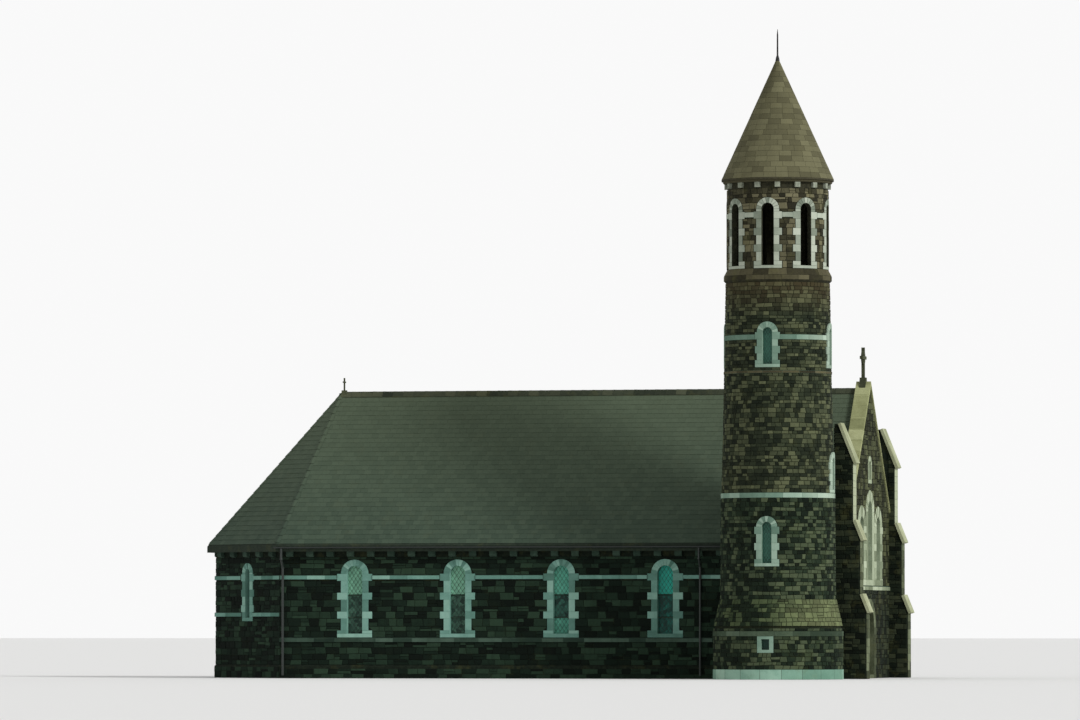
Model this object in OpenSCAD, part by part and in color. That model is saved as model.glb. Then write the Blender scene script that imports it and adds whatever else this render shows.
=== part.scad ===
// Small stone chapel with a three-sided apse, a gabled front between two stepped piers,
// and a round bell tower with an arcaded belfry under a stone cone.
// The front looks along +X, the tower stands on the -Y side, and the ground is z = 0.
// The origin lies on the centre line, halfway along the nave. Sizes are in millimetres.

/* [Nave] */
// Width across the outer faces of the side walls
nave_w = 9800; // [9500:50:10200]
// Length from the front face to the corners where the apse begins
nave_l = 24000; // [23400:100:25200]
// Thickness of the side and apse walls
wall_t = 700; // [600:20:800]
// Height of the roof's underside at the outer face of the walls
eave_z = 5690; // [5660:10:6000]
// Height of the plinth course
plinth_h = 550; // [400:10:800]
// How far the plinth stands proud of the wall
plinth_out = 60; // [30:5:75]
// Top of the stone floor above the ground
floor_z = 150; // [100:10:300]

/* [Roof] */
// Slope of the nave roof in degrees
roof_pitch = 51; // [49:0.5:53]
// Thickness of the roof covering and boards, square to the slope
roof_t = 160; // [120:10:200]
// Overhang of the roof past the wall face
eave_out = 350; // [300:10:400]
// Half width of the ridge tiles
ridge_half = 180; // [140:10:240]
// Upright thickness of the ridge tiles
ridge_t = 60; // [40:5:90]
// Height of the small cross at the apse end of the ridge
apse_cross_h = 520; // [400:20:700]

/* [Apse] */
// How far the apse stands out past the nave
apse_l = 3700; // [3500:50:3900]
// Width of its end wall
apse_end_w = 3200; // [3000:50:3400]
// Distance of the roof's peak inside the nave's end
apse_peak_in = 1350; // [1100:50:1600]

/* [Cornice and strings] */
// Height of the cornice stones at their front edge
cornice_h = 105; // [90:5:120]
// How far the cornice stands out from the wall
cornice_out = 220; // [180:10:260]
// Height of a corbel under the cornice
corbel_h = 260; // [200:10:280]
// Width of a corbel
corbel_w = 300; // [200:10:400]
// How far a corbel stands out from the wall
corbel_out = 180; // [140:10:200]
// Spacing of the corbels along the walls
corbel_pitch = 860; // [750:10:950]
// Height of a string course
string_h = 190; // [150:5:200]
// How far a string course stands out from the wall
string_out = 60; // [40:5:90]
// Height at which the upper string course begins
string_z = 4100; // [4050:10:4150]
// Height at which the nave's sill course begins
sill_string_z = 1500; // [1350:10:1500]
// Height at which the apse's sill course begins
apse_sill_z = 2560; // [2520:10:2700]
// Height at which the sill course of the front begins
front_sill_z = 3650; // [3600:10:3700]

/* [Nave windows] */
// Width of the opening
light_w = 650; // [550:10:750]
// Width of the dressed surround
surround_w = 1180; // [1100:10:1250]
// Bottom of the opening
light_z = 1850; // [1800:10:2000]
// Height at which the arch springs
spring_z = 4330; // [4250:10:4380]
// Distance between two windows
window_pitch = 4400; // [4300:20:4500]
// Distance from the front to the first window of the tower side
window_start = 7600; // [7400:20:7700]
// Number of windows on the tower side, which has one fewer than the far side
window_n = 4; // [3:1:4]
// Depth of the dressed stones into the wall
dress_t = 300; // [220:10:340]
// How far dressed stones stand proud of the rubble
dress_out = 30; // [15:5:40]
// How far the long jamb stones reach past the short ones
block_out = 160; // [100:10:200]
// Height of the long jamb stones
block_h = 290; // [250:10:300]
// How far a jamb's highest long stone begins below the course that it meets
tie_drop = 60; // [40:5:80]
// Distance from the wall face to the glass
glass_in = 190; // [150:10:210]
// Thickness of the leaded glass with its frame
glass_t = 40; // [20:5:60]

/* [Apse windows] */
// Width of the narrow opening
apse_light_w = 320; // [260:10:400]
// Width of its surround
apse_surround_w = 800; // [700:10:900]
// Bottom of its opening
apse_light_z = 2520; // [2500:10:2700]
// Height of its sill stone
apse_stool_h = 150; // [120:10:180]
// Height at which its arch springs
apse_spring_z = 4400; // [4350:10:4450]

/* [Front wall] */
// Thickness of the gable where it stands above the roof
parapet_t = 500; // [400:20:560]
// Height of the gable wall above the roof surface
parapet_up = 150; // [100:10:250]
// Upright thickness of the coping stones
coping_h = 180; // [120:10:240]
// How far the coping stands out from the front face
coping_out = 80; // [40:10:120]
// Width of the middle light
mid_light_w = 900; // [800:10:950]
// Height at which the middle arch springs
mid_spring_z = 6900; // [6800:20:7000]
// Width of a side light
side_light_w = 800; // [700:10:850]
// Height at which the side arches spring
side_spring_z = 6300; // [6200:20:6400]
// Distance from the middle light to a side light
side_light_y = 1800; // [1750:10:1900]
// Width of the dressed stone round each of these lights
front_band_w = 450; // [400:10:480]
// Bottom of the three lights
front_light_z = 4080; // [4000:10:4200]
// Width of the small light above them
small_light_w = 340; // [280:10:400]
// Bottom of the small light
small_light_z = 8240; // [8200:10:8300]
// Height at which its arch springs
small_spring_z = 8850; // [8800:10:8900]
// Width of the dressed stone round the small light
small_band_w = 210; // [180:10:240]
// Height of its sill stone
small_stool_h = 160; // [120:10:180]
// Width of the doorway
door_w = 1700; // [1500:20:1800]
// Height at which the doorway's arch springs
door_spring_z = 2100; // [2000:20:2150]
// Width of the dressed stone round the doorway
door_band_w = 350; // [300:10:400]
// Thickness of the door leaves
leaf_t = 80; // [60:5:120]
// Height of the cross above its saddle stone
cross_h = 1250; // [1000:50:1500]

/* [Corner piers] */
// Thickness of each pier across the front
pier_w = 680; // [620:10:740]
// How far a pier stands proud of the side wall
pier_side = 40; // [20:5:80]
// Reach of the lowest stage in front of the wall
pier_low_x = 820; // [750:10:900]
// Reach of the middle stage
pier_mid_x = 560; // [500:10:620]
// Reach of the top stage
pier_top_x = 270; // [200:10:320]
// Height at which the lowest weathering begins
pier_low_z = 2800; // [2700:20:2900]
// Height at which the middle weathering begins
pier_mid_z = 5750; // [5650:20:5850]
// Height at which the cap begins
pier_cap_z = 8900; // [8700:20:9100]
// Depth of the flat strip behind the cap
pier_back = 150; // [100:10:220]
// Slope of the weatherings in degrees
weather_pitch = 68; // [64:0.5:72]
// Thickness of a weathering slab
weather_t = 120; // [80:5:140]
// How far a slab overhangs its pier
weather_out = 60; // [30:5:80]

/* [Tower] */
// Distance from the front face back to the tower's axis
tower_back = 2430; // [2350:10:2500]
// Distance from the nave's side wall out to the tower's axis
tower_out = 2150; // [2100:10:2300]
// Radius of the hollow shaft
shaft_r = 1600; // [1450:10:1650]
// Radius of the base course
foot_r = 2660; // [2640:5:2680]
// Height of the base course
foot_h = 400; // [300:10:500]
// Radius of the base drum
drum_r = 2620; // [2600:5:2630]
// Height at which the batter begins
batter_z = 1950; // [1900:10:2000]
// Radius at the foot of the batter
batter_r = 2600; // [2560:5:2600]
// Height at which the lower stage begins
lower_z = 3240; // [3200:10:3300]
// Radius at the foot of the lower stage
lower_r = 2330; // [2310:5:2350]
// Height at which the middle stage begins
middle_z = 7350; // [7300:10:7400]
// Radius at the foot of the middle stage
middle_r = 2280; // [2260:5:2290]
// Height at which the upper stage begins
upper_z = 12400; // [12350:10:12450]
// Radius at the foot of the upper stage
upper_r = 2160; // [2140:5:2180]
// Height at which the belfry ledge begins
ledge_z = 16100; // [16000:10:16200]
// Radius at the top of the upper stage
ledge_r = 2100; // [2090:5:2120]
// Height of a pale band
band_h = 200; // [150:10:220]
// How far the bands stand out
band_out = 40; // [25:5:50]
// Height of the band that crosses the upper windows
high_band_z = 13760; // [13700:10:13800]

/* [Tower windows] */
// Width of the openings with round heads
slit_w = 400; // [320:10:440]
// Width of their surrounds
slit_band_w = 860; // [800:10:900]
// Height of their sill stones
slit_stool_h = 130; // [100:10:150]
// Width of the small square opening in the base
vent_w = 330; // [280:10:360]
// Height of the small square opening
vent_h = 430; // [350:10:450]
// Width of the dressed stones beside it
vent_band_w = 170; // [140:10:200]
// Height of the dressed stones above and below it
vent_band_h = 120; // [100:10:140]
// Bottom of the lower window's opening
slit_low_z = 4700; // [4650:10:4800]
// Spring of the lower window's arch
slit_low_spring = 6170; // [6100:10:6200]
// Bottom of the middle window's opening
slit_mid_z = 7700; // [7680:10:7750]
// Spring of the middle window's arch
slit_mid_spring = 8800; // [8750:10:8850]
// Bottom of the upper windows' openings
slit_high_z = 12760; // [12720:10:12800]
// Spring of the upper windows' arches
slit_high_spring = 14050; // [14010:10:14100]

/* [Belfry] */
// Number of arched openings
arch_n = 8; // [6:1:8]
// Height at which the belfry wall begins
belfry_z = 16650; // [16600:10:16700]
// Radius of the belfry wall
belfry_r = 2050; // [2040:5:2080]
// Width of an arched opening
arch_w = 500; // [440:10:560]
// Width of the dressed stones round it
arch_band_w = 950; // [900:10:980]
// Bottom of the openings
arch_z = 16770; // [16750:10:16850]
// Height at which the arches spring
arch_spring = 19050; // [18950:10:19100]
// How far the long stones beside them reach past the short ones
arch_block_out = 110; // [80:10:130]
// Depth of the dressed stones
arch_dress_t = 250; // [200:10:300]
// Height at which the impost course begins
impost_z = 18720; // [18650:10:18750]
// Height at which the eaves course begins
belfry_top = 20160; // [20120:10:20200]
// Number of corbels under the eaves
tower_corbel_n = 16; // [12:1:20]
// Height of a tower corbel
tower_corbel_h = 220; // [180:10:240]
// Width of a tower corbel
tower_corbel_w = 220; // [180:10:260]
// Thickness of the belfry floor
deck_t = 300; // [200:10:350]

/* [Cone] */
// Height of the eaves course
eaves_h = 100; // [80:10:140]
// Radius of the eaves course
eaves_r = 2230; // [2210:5:2270]
// Height of the stone cone
cone_h = 4940; // [4700:20:5200]
// Radius of the cone at its tip
cone_tip_r = 70; // [60:5:90]
// Thickness of the cone's stones, measured level
cone_t = 420; // [350:10:500]
// Height of the iron finial
spike_h = 1300; // [1100:20:1500]

/* [Rainwater goods] */
// Width of the gutter
gutter_w = 130; // [110:5:150]
// Radius of the pipes
pipe_r = 50; // [40:2:60]
// Distance from the wall to the middle of a pipe
pipe_off = 160; // [150:5:190]
// Distance from the front to the pipe beside the tower
pipe_x = 6100; // [6000:10:6200]

/* [Hidden] */
// Bed clearance of curved and fitted stones
bed = 0.3;
// How far a cutting shape runs past the face that it cuts
over = 50;
// Share of a cross's height at which the middle of its arms lies
arm_share = 0.66;
$fn = 96;

half_w = nave_w / 2;
x_front = nave_l / 2;
x_end = -nave_l / 2;
x_shoulder = x_front - parapet_t;
x_apse = x_end - apse_l;
x_peak = x_end + apse_peak_in;
slope = tan(roof_pitch);
// Upright thickness of the roof
roof_v = roof_t / cos(roof_pitch);
// Height of the roof surface above the outer wall face, and at the ridge
roof_z = eave_z + roof_v;
ridge_z = roof_z + slope * half_w;
roof_rise = ridge_z - roof_z;
eave_drop = eave_out * slope;
gutter_z = roof_z - eave_drop - gutter_w / 2;
pier_y = half_w + pier_side - pier_w;
rake_z = ridge_z + parapet_up;
tower_x = x_front - tower_back;
tower_y = -half_w - tower_out;
// Height that clears the whole building
tall = 4 * ridge_z;
// How far a section runs on past a corner before its mitre is cut
overrun = 4 * wall_t;
door_in = dress_t - leaf_t;
lower_top_r = middle_r + band_out / 2;

// Corners of the outer wall face, counter-clockwise from the tower side of the front
plan = [
    [x_shoulder, -half_w], [x_shoulder, half_w], [x_end, half_w],
    [x_apse, apse_end_w / 2], [x_apse, -apse_end_w / 2], [x_end, -half_w]
];
FAR = 1;
APSE = [2, 3, 4];
NEAR = 5;
SIDES = [1, 2, 3, 4, 5];
near_windows = [for (k = [0:window_n - 1]) nave_l - window_start - k * window_pitch];
far_windows = [for (k = [-1:window_n - 1]) window_start + k * window_pitch - parapet_t];

function corner(i) = plan[i % 6];
function run(i) = corner(i + 1) - corner(i);
function left(v) = [-v[1], v[0]] / norm(v);
// Corner i moved inwards by d, with its joint mitred
function inset(i, d) =
    let (k = i % 6, n1 = left(run(k + 5)), n2 = left(run(k)))
    k < 2 ? [x_shoulder, (half_w - d) * (k == 0 ? -1 : 1)]
          : corner(k) + d * (n1 + n2) / (1 + n1 * n2);
// Level distance from the outer face of side i to the roof's peak
function reach(i) = (i == FAR || i == NEAR) ? half_w : left(run(i)) * ([x_peak, 0] - corner(i));
function roof_slope(i) = roof_rise / reach(i);
// Underside of the cornice, kept level all round below the steepest slope
steepest = max([for (i = SIDES) roof_slope(i)]);
cornice_z = eave_z - cornice_out * steepest - cornice_h;
corbel_z = cornice_z - corbel_h;
// Corner i of the eaves, on the hip line carried down past the wall
function eaves_corner(i) =
    let (k = 1 + eave_drop / roof_rise, p = corner(i))
    i % 6 < 2 ? [x_shoulder, p[1] * (half_w + eave_out) / half_w]
              : [x_peak, 0] + k * (p - [x_peak, 0]);

// Frames of reference: local x runs along the face, local y runs into the building
module on_side(i) {
    r = run(i);
    translate([corner(i)[0], corner(i)[1], 0]) rotate([0, 0, atan2(r[1], r[0])]) children();
}

module on_front() {
    translate([x_front, 0, 0]) rotate([0, 0, 90]) children();
}

module on_tower(turn = 0) {
    translate([tower_x, tower_y, 0]) rotate([0, 0, turn]) children();
}

// An upright outline pushed through the wall from depth a to depth b
module through(a, b) {
    translate([0, b, 0]) rotate([90, 0, 0]) linear_extrude(b - a) children();
}

// A wall section carried along side i, with mitred ends, between two depths
module along(i, outer, inner) {
    intersection() {
        on_side(i) translate([-overrun, 0, 0]) rotate([90, 0, 90])
            linear_extrude(norm(run(i)) + 2 * overrun) children();
        linear_extrude(tall) polygon([
            inset(i, -outer), inset(i + 1, -outer), inset(i + 1, inner), inset(i, inner)
        ]);
    }
}

// A straight stone with a weathered top, as a section at height z
module string_section(z, out, h) {
    polygon([[-out, z], [0, z], [0, z + h], [-out, z + h - out / 2]]);
}

// The tower's outer shape, grown by g, to cut what meets it
module tower_space(g) {
    on_tower() rotate_extrude() polygon([
        [0, -over], [foot_r + g, -over], [foot_r + g, foot_h], [drum_r + g, foot_h],
        [drum_r + g, batter_z - band_h], [drum_r + band_out + g, batter_z - band_h],
        [drum_r + band_out + g, batter_z], [batter_r + g, batter_z], [lower_r + g, lower_z],
        [lower_top_r + g, middle_z], [middle_r + g, middle_z], [upper_r + g, upper_z], [0, upper_z]
    ]);
}

// Window outlines, with the middle of the opening at x = 0
module arch(w, z0, spring, g = 0) {
    translate([-w / 2 - g, z0 - g]) square([w + 2 * g, spring - z0 + g]);
    translate([0, spring]) circle(r = w / 2 + g);
}

// Long stones of both jambs: n of them, spaced evenly, that begin between heights z0 and z1
module jamb_blocks(w, out, n, z0, z1, g = 0) {
    for (k = [0:n - 1])
        translate([-w / 2 - out - g, z0 + k * (z1 - z0) / (n - 1) - g])
            square([w + 2 * (out + g), block_h + 2 * g]);
}

nave_sur_z = sill_string_z + string_h;

module nave_light(g = 0) arch(light_w, light_z, spring_z, g);

module nave_arch(g = 0) arch(surround_w, nave_sur_z, spring_z, g);

module nave_surround(g = 0) {
    nave_arch(g);
    jamb_blocks(surround_w, block_out, 4, nave_sur_z, string_z - tie_drop, g);
}

apse_sur_z = apse_light_z - apse_stool_h;

module apse_light(g = 0) arch(apse_light_w, apse_light_z, apse_spring_z, g);

module apse_arch(g = 0) arch(apse_surround_w, apse_sur_z, apse_spring_z, g);

module apse_surround(g = 0) {
    apse_arch(g);
    jamb_blocks(apse_surround_w, block_out / 2, 3, apse_sill_z + string_h, string_z - tie_drop, g);
}

front_sur_z = front_sill_z + string_h;

module front_lights(g = 0) {
    arch(mid_light_w, front_light_z, mid_spring_z, g);
    for (s = [-1, 1]) translate([s * side_light_y, 0])
        arch(side_light_w, front_light_z, side_spring_z, g);
}

module front_arches(g = 0) {
    arch(mid_light_w + 2 * front_band_w, front_sur_z, mid_spring_z, g);
    for (s = [-1, 1]) translate([s * side_light_y, 0])
        arch(side_light_w + 2 * front_band_w, front_sur_z, side_spring_z, g);
}

module front_surround(g = 0) {
    front_arches(g);
    jamb_blocks(2 * side_light_y + side_light_w + 2 * front_band_w, block_out, 4, front_sur_z,
        side_spring_z - block_h, g);
    small_arch(g);
}

module small_light(g = 0) arch(small_light_w, small_light_z, small_spring_z, g);

module small_arch(g = 0)
    arch(small_light_w + 2 * small_band_w, small_light_z - small_stool_h, small_spring_z, g);

module door_arch(g = 0) arch(door_w + 2 * door_band_w, 0, door_spring_z, g);

module door_outline(g = 0) {
    door_arch(g);
    jamb_blocks(door_w + 2 * door_band_w, block_out, 3, plinth_h, door_spring_z - block_h, g);
}

// Walls of the nave and apse
module wall_section(i) {
    s = roof_slope(i);
    polygon([[0, plinth_h], [wall_t, plinth_h], [wall_t, eave_z + s * wall_t], [0, eave_z]]);
}

// Recess for the dressed stones, then the embrasure behind them
module window_cut(t) {
    through(-over, dress_t + bed) children(0);
    through(-over, t + over) children(1);
}

module side_wall(i, places) {
    difference() {
        along(i, 0, wall_t) wall_section(i);
        for (x = places) on_side(i) translate([x, 0, 0]) window_cut(wall_t) {
            nave_surround(bed);
            nave_arch(bed);
        }
        if (i == NEAR) tower_space(bed);
    }
}

module apse_wall(i) {
    difference() {
        along(i, 0, wall_t) wall_section(i);
        on_side(i) translate([norm(run(i)) / 2, 0, 0]) window_cut(wall_t) {
            apse_surround(bed);
            apse_arch(bed);
        }
    }
}

module nave_floor() {
    color("lightslategray") linear_extrude(floor_z) polygon([
        [x_front - wall_t, inset(0, wall_t)[1]], [x_front - wall_t, inset(1, wall_t)[1]],
        for (i = [2:5]) inset(i, wall_t)
    ]);
}

module plinth() {
    chamfer = plinth_out;
    room_w = nave_w - 2 * wall_t;
    all_l = nave_l + 2 * apse_l;
    color("dimgray") difference() {
        intersection_for (i = SIDES) intersection() {
            on_side(i) translate([-all_l, 0, 0]) rotate([90, 0, 90])
                linear_extrude(norm(run(i)) + 2 * all_l) polygon([
                    [-plinth_out, 0], [all_l, 0], [all_l, plinth_h], [0, plinth_h],
                    [-plinth_out, plinth_h - chamfer]
                ]);
            translate([x_shoulder - all_l, -nave_w, 0]) cube([all_l, 2 * nave_w, plinth_h]);
        }
        translate([0, 0, -over]) linear_extrude(plinth_h + 2 * over)
            polygon([for (i = [FAR + 1:NEAR]) inset(i, wall_t)]);
        translate([x_end, -room_w / 2, -over]) cube([nave_l, room_w, plinth_h + 2 * over]);
        tower_space(bed);
    }
}

module near_wall() color("dimgray") side_wall(NEAR, near_windows);

module far_wall() color("dimgray") side_wall(FAR, far_windows);

module apse_near_wall() color("dimgray") apse_wall(APSE[2]);

module apse_end_wall() color("dimgray") apse_wall(APSE[1]);

module apse_far_wall() color("dimgray") apse_wall(APSE[0]);

// Front wall, thicker below the roof than in the parapet
module front_gable_wall() {
    lean = eave_z + slope * wall_t;
    inner_y = half_w - wall_t;
    color("darkkhaki") difference() {
        on_front() union() {
            through(0, parapet_t) polygon([
                [-pier_y, 0], [pier_y, 0], [pier_y, rake_z - slope * pier_y], [0, rake_z],
                [-pier_y, rake_z - slope * pier_y]
            ]);
            through(parapet_t, wall_t) polygon([
                [-inner_y, 0], [inner_y, 0], [inner_y, lean], [0, ridge_z - roof_v],
                [-inner_y, lean]
            ]);
        }
        on_front() window_cut(wall_t) {
            front_surround(bed);
            union() {
                front_arches(bed);
                small_arch(bed);
            }
        }
        on_front() window_cut(wall_t) {
            door_outline(bed);
            door_arch(bed);
        }
    }
}

module gable_coping() {
    color("gainsboro") on_front() through(-coping_out, parapet_t + coping_out / 2) polygon([
        [-pier_y, rake_z - slope * pier_y], [0, rake_z], [pier_y, rake_z - slope * pier_y],
        [pier_y, rake_z - slope * pier_y + coping_h], [0, rake_z + coping_h],
        [-pier_y, rake_z - slope * pier_y + coping_h]
    ]);
}

// Stone with a notch below that straddles a ridge at height z
module saddle_stone(half, h, z) {
    polygon([
        [-half, z - slope * half], [0, z], [half, z - slope * half], [half / 2, z + h],
        [-half / 2, z + h]
    ]);
}

// Cross standing at height z in the plane of the front
module cross(h, t, z) {
    arm_z = z + arm_share * h;
    arm = 0.34 * h;
    through(-t / 2, t / 2) {
        translate([-t / 2, z]) square([t, h]);
        translate([-arm, arm_z - t / 2]) square([2 * arm, t]);
    }
}

module gable_cross() {
    t = 130;
    saddle_half = 230;
    saddle_h = 160;
    foot = rake_z + coping_h;
    ring_z = foot + saddle_h + arm_share * cross_h;
    ring_r = 0.24 * cross_h;
    ring_w = 0.6 * t;
    color("gainsboro") translate([x_front - parapet_t / 2, 0, 0]) rotate([0, 0, 90]) {
        through(-t, t) saddle_stone(saddle_half, saddle_h, foot);
        cross(cross_h, t, foot + saddle_h);
        translate([0, 0, ring_z]) through(-ring_w / 2, ring_w / 2) difference() {
            circle(r = ring_r);
            circle(r = ring_r - ring_w);
        }
    }
}

// Corner piers: x runs out from the front face, z up
function weather_run(dx) = dx * tan(weather_pitch);
pier_tip_x = pier_back - parapet_t;
pier_tip_z = pier_cap_z + weather_run(pier_top_x - pier_tip_x);

module pier(s) {
    translate([x_front, s * (pier_y + pier_w / 2) + pier_w / 2, 0]) rotate([90, 0, 0])
        linear_extrude(pier_w) polygon([
            [-parapet_t, 0], [pier_low_x, 0], [pier_low_x, pier_low_z],
            [pier_mid_x, pier_low_z + weather_run(pier_low_x - pier_mid_x)],
            [pier_mid_x, pier_mid_z],
            [pier_top_x, pier_mid_z + weather_run(pier_mid_x - pier_top_x)],
            [pier_top_x, pier_cap_z], [pier_tip_x, pier_tip_z], [-parapet_t, pier_tip_z]
        ]);
}

// Slab lying on a slope that climbs from [x0, z0] back to x1
module weathering(s, x0, z0, x1) {
    slant = (x0 - x1) / cos(weather_pitch);
    translate([x_front + x0, s * (pier_y + pier_w / 2), z0]) rotate([0, weather_pitch, 0])
        translate([-slant, -pier_w / 2 - weather_out, 0])
            cube([slant + 2 * weather_out, pier_w + 2 * weather_out, weather_t]);
}

module near_pier() color("darkgray") pier(-1);

module far_pier() color("darkgray") pier(1);

module pier_weatherings() {
    color("gainsboro") for (s = [-1, 1]) {
        weathering(s, pier_low_x, pier_low_z, pier_mid_x);
        weathering(s, pier_mid_x, pier_mid_z, pier_top_x);
        weathering(s, pier_top_x, pier_cap_z, pier_tip_x);
    }
}

// Everything under the roof surface that rises from side i, lowered by d
module under_slope(i, d) {
    s = roof_slope(i);
    far_out = 2 * eave_out;
    on_side(i) translate([-nave_w, 0, -d]) rotate([90, 0, 90])
        linear_extrude(norm(run(i)) + 2 * nave_w) polygon([
            [-far_out, 0], [nave_w, 0], [nave_w, roof_z + s * nave_w],
            [-far_out, roof_z - s * far_out]
        ]);
}

// The roof covering over the given sides, within an outline in plan
module roof_shell(sides, corners) {
    intersection() {
        linear_extrude(tall) polygon(corners);
        difference() {
            intersection_for (i = sides) under_slope(i, 0);
            intersection_for (i = sides) under_slope(i, roof_v);
        }
    }
}

module near_roof_slope() {
    color("darkslategray") difference() {
        roof_shell([NEAR], [eaves_corner(5), eaves_corner(0), [x_shoulder, 0], [x_peak, 0]]);
        tower_space(bed);
    }
}

module far_roof_slope() {
    color("darkslategray")
        roof_shell([FAR], [eaves_corner(1), eaves_corner(2), [x_peak, 0], [x_shoulder, 0]]);
}

module apse_roof() {
    color("darkslategray")
        roof_shell(APSE, concat([for (i = [2:5]) eaves_corner(i)], [[x_peak, 0]]));
}

module ridge_tiles() {
    drop = slope * ridge_half;
    color("slategray") translate([x_peak, 0, 0]) rotate([90, 0, 90])
        linear_extrude(x_shoulder - x_peak) polygon([
            [-ridge_half, ridge_z - drop], [0, ridge_z], [ridge_half, ridge_z - drop],
            [ridge_half, ridge_z - drop + ridge_t], [0, ridge_z + ridge_t],
            [-ridge_half, ridge_z - drop + ridge_t]
        ]);
}

module apse_finial() {
    t = 60;
    saddle_half = 110;
    saddle_h = 60;
    foot = ridge_z + ridge_t;
    color("gray") translate([x_peak + saddle_half, 0, 0]) rotate([0, 0, 90]) {
        through(-saddle_half, saddle_half) saddle_stone(saddle_half, saddle_h, foot);
        cross(apse_cross_h, t, foot + saddle_h);
    }
}

// Section of a rounded corbel, whose top is let into the cornice
module corbel_section() {
    let_in = 20;
    translate([0, corbel_z]) intersection() {
        translate([-corbel_out, 0]) square([corbel_out, corbel_h + let_in]);
        translate([0, corbel_h]) circle(r = corbel_h);
    }
}

module corbel_row(i) {
    length = norm(run(i));
    count = floor(length / corbel_pitch);
    for (k = [0:count - 1])
        on_side(i) translate([(k + 0.5) * length / count - corbel_w / 2, 0, 0])
            rotate([90, 0, 90]) linear_extrude(corbel_w) corbel_section();
}

// Level course that carries the eaves along sides a to b, with its corbels
module corbel_table(a, b) {
    translate([0, 0, cornice_z]) linear_extrude(cornice_h) polygon(concat(
        [for (i = [a:b + 1]) inset(i, -cornice_out)],
        [for (i = [b + 1:-1:a]) inset(i, 0)]
    ));
    for (i = [a:b]) corbel_row(i);
}

module near_corbel_table() {
    color("silver") difference() {
        corbel_table(NEAR, NEAR);
        tower_space(bed);
    }
}

module far_corbel_table() color("silver") corbel_table(FAR, FAR);

module apse_corbel_table() color("silver") corbel_table(APSE[0], APSE[2]);

// Iron gutters and pipes
module gutter_section() {
    lip = 8;
    translate([-eave_out - gutter_w / 2, gutter_z]) difference() {
        circle(d = gutter_w);
        circle(d = gutter_w - 2 * lip);
        translate([-gutter_w, 0]) square([2 * gutter_w, gutter_w]);
    }
}

module rod(a, b, r) {
    v = b - a;
    translate(a) rotate([0, acos(v[2] / norm(v)), atan2(v[1], v[0])]) cylinder(r = r, h = norm(v));
}

module downpipe(i, x) {
    spout_y = -eave_out - gutter_w / 2;
    neck_z = corbel_z - 2 * pipe_r;
    elbow_z = neck_z - eave_out;
    foot_z = 120;
    strap_h = 60;
    strap_step = (elbow_z - plinth_h) / 3;
    socket = 12;
    on_side(i) translate([x, 0, 0]) {
        rod([0, spout_y, neck_z], [0, spout_y, gutter_z - gutter_w / 2 + 1], pipe_r);
        translate([0, spout_y, neck_z]) sphere(r = pipe_r + socket);
        rod([0, spout_y, neck_z], [0, -pipe_off, elbow_z], pipe_r);
        translate([0, -pipe_off, elbow_z]) sphere(r = pipe_r + socket);
        rod([0, -pipe_off, foot_z], [0, -pipe_off, elbow_z], pipe_r);
        for (k = [0:2]) translate([-pipe_r / 2, -pipe_off, plinth_h + (k + 0.3) * strap_step])
            cube([pipe_r, pipe_off, strap_h]);
    }
}

module rainwater_pipes() {
    end_in = 3 * pipe_r;
    color("darkslategray") {
        difference() {
            union() for (i = [FAR, NEAR]) along(i, eave_out + gutter_w, 0) gutter_section();
            tower_space(over);
            translate([tower_x, -half_w - 2 * eave_out, 0]) cube([tower_back, 2 * eave_out, tall]);
        }
        downpipe(NEAR, nave_l - pipe_x);
        downpipe(NEAR, end_in);
        downpipe(FAR, pipe_x - parapet_t);
        downpipe(FAR, norm(run(FAR)) - end_in);
    }
}

module string_courses() {
    color("lightgray") {
        difference() {
            union() {
                for (i = SIDES) along(i, string_out, 0) string_section(string_z, string_out, string_h);
                for (i = [FAR, NEAR]) along(i, string_out, 0)
                    string_section(sill_string_z, string_out, string_h);
                for (i = APSE) along(i, string_out, 0)
                    string_section(apse_sill_z, string_out, string_h);
            }
            for (x = near_windows) on_side(NEAR) translate([x, 0, 0]) through(-over * 2, 0)
                nave_surround(bed);
            for (x = far_windows) on_side(FAR) translate([x, 0, 0]) through(-over * 2, 0)
                nave_surround(bed);
            for (i = APSE) on_side(i) translate([norm(run(i)) / 2, 0, 0]) through(-over * 2, 0)
                apse_surround(bed);
            tower_space(bed);
        }
        on_front() translate([-pier_y, 0, 0]) rotate([90, 0, 90]) linear_extrude(2 * pier_y)
            string_section(front_sill_z, string_out, string_h);
    }
}

module nave_window_surrounds() {
    color("gainsboro") for (side = [NEAR, FAR])
        for (x = side == NEAR ? near_windows : far_windows) on_side(side) translate([x, 0, 0])
            through(-dress_out, dress_t) difference() {
                nave_surround();
                nave_light();
            }
}

module nave_window_glass() {
    color("teal", 0.5) for (side = [NEAR, FAR])
        for (x = side == NEAR ? near_windows : far_windows) on_side(side) translate([x, 0, 0])
            through(glass_in, glass_in + glass_t) nave_light(-bed);
}

module apse_window_surrounds() {
    color("gainsboro") for (i = APSE) on_side(i) translate([norm(run(i)) / 2, 0, 0])
        through(-dress_out, dress_t) difference() {
            apse_surround();
            apse_light();
        }
}

module apse_window_glass() {
    color("teal", 0.5) for (i = APSE) on_side(i) translate([norm(run(i)) / 2, 0, 0])
        through(glass_in, glass_in + glass_t) apse_light(-bed);
}

module front_window_surrounds() {
    color("gainsboro") on_front() through(-dress_out, dress_t) difference() {
        front_surround();
        front_lights();
        small_light();
    }
}

module front_window_glass() {
    color("teal", 0.5) on_front() through(glass_in, glass_in + glass_t) {
        front_lights(-bed);
        small_light(-bed);
    }
}

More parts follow.
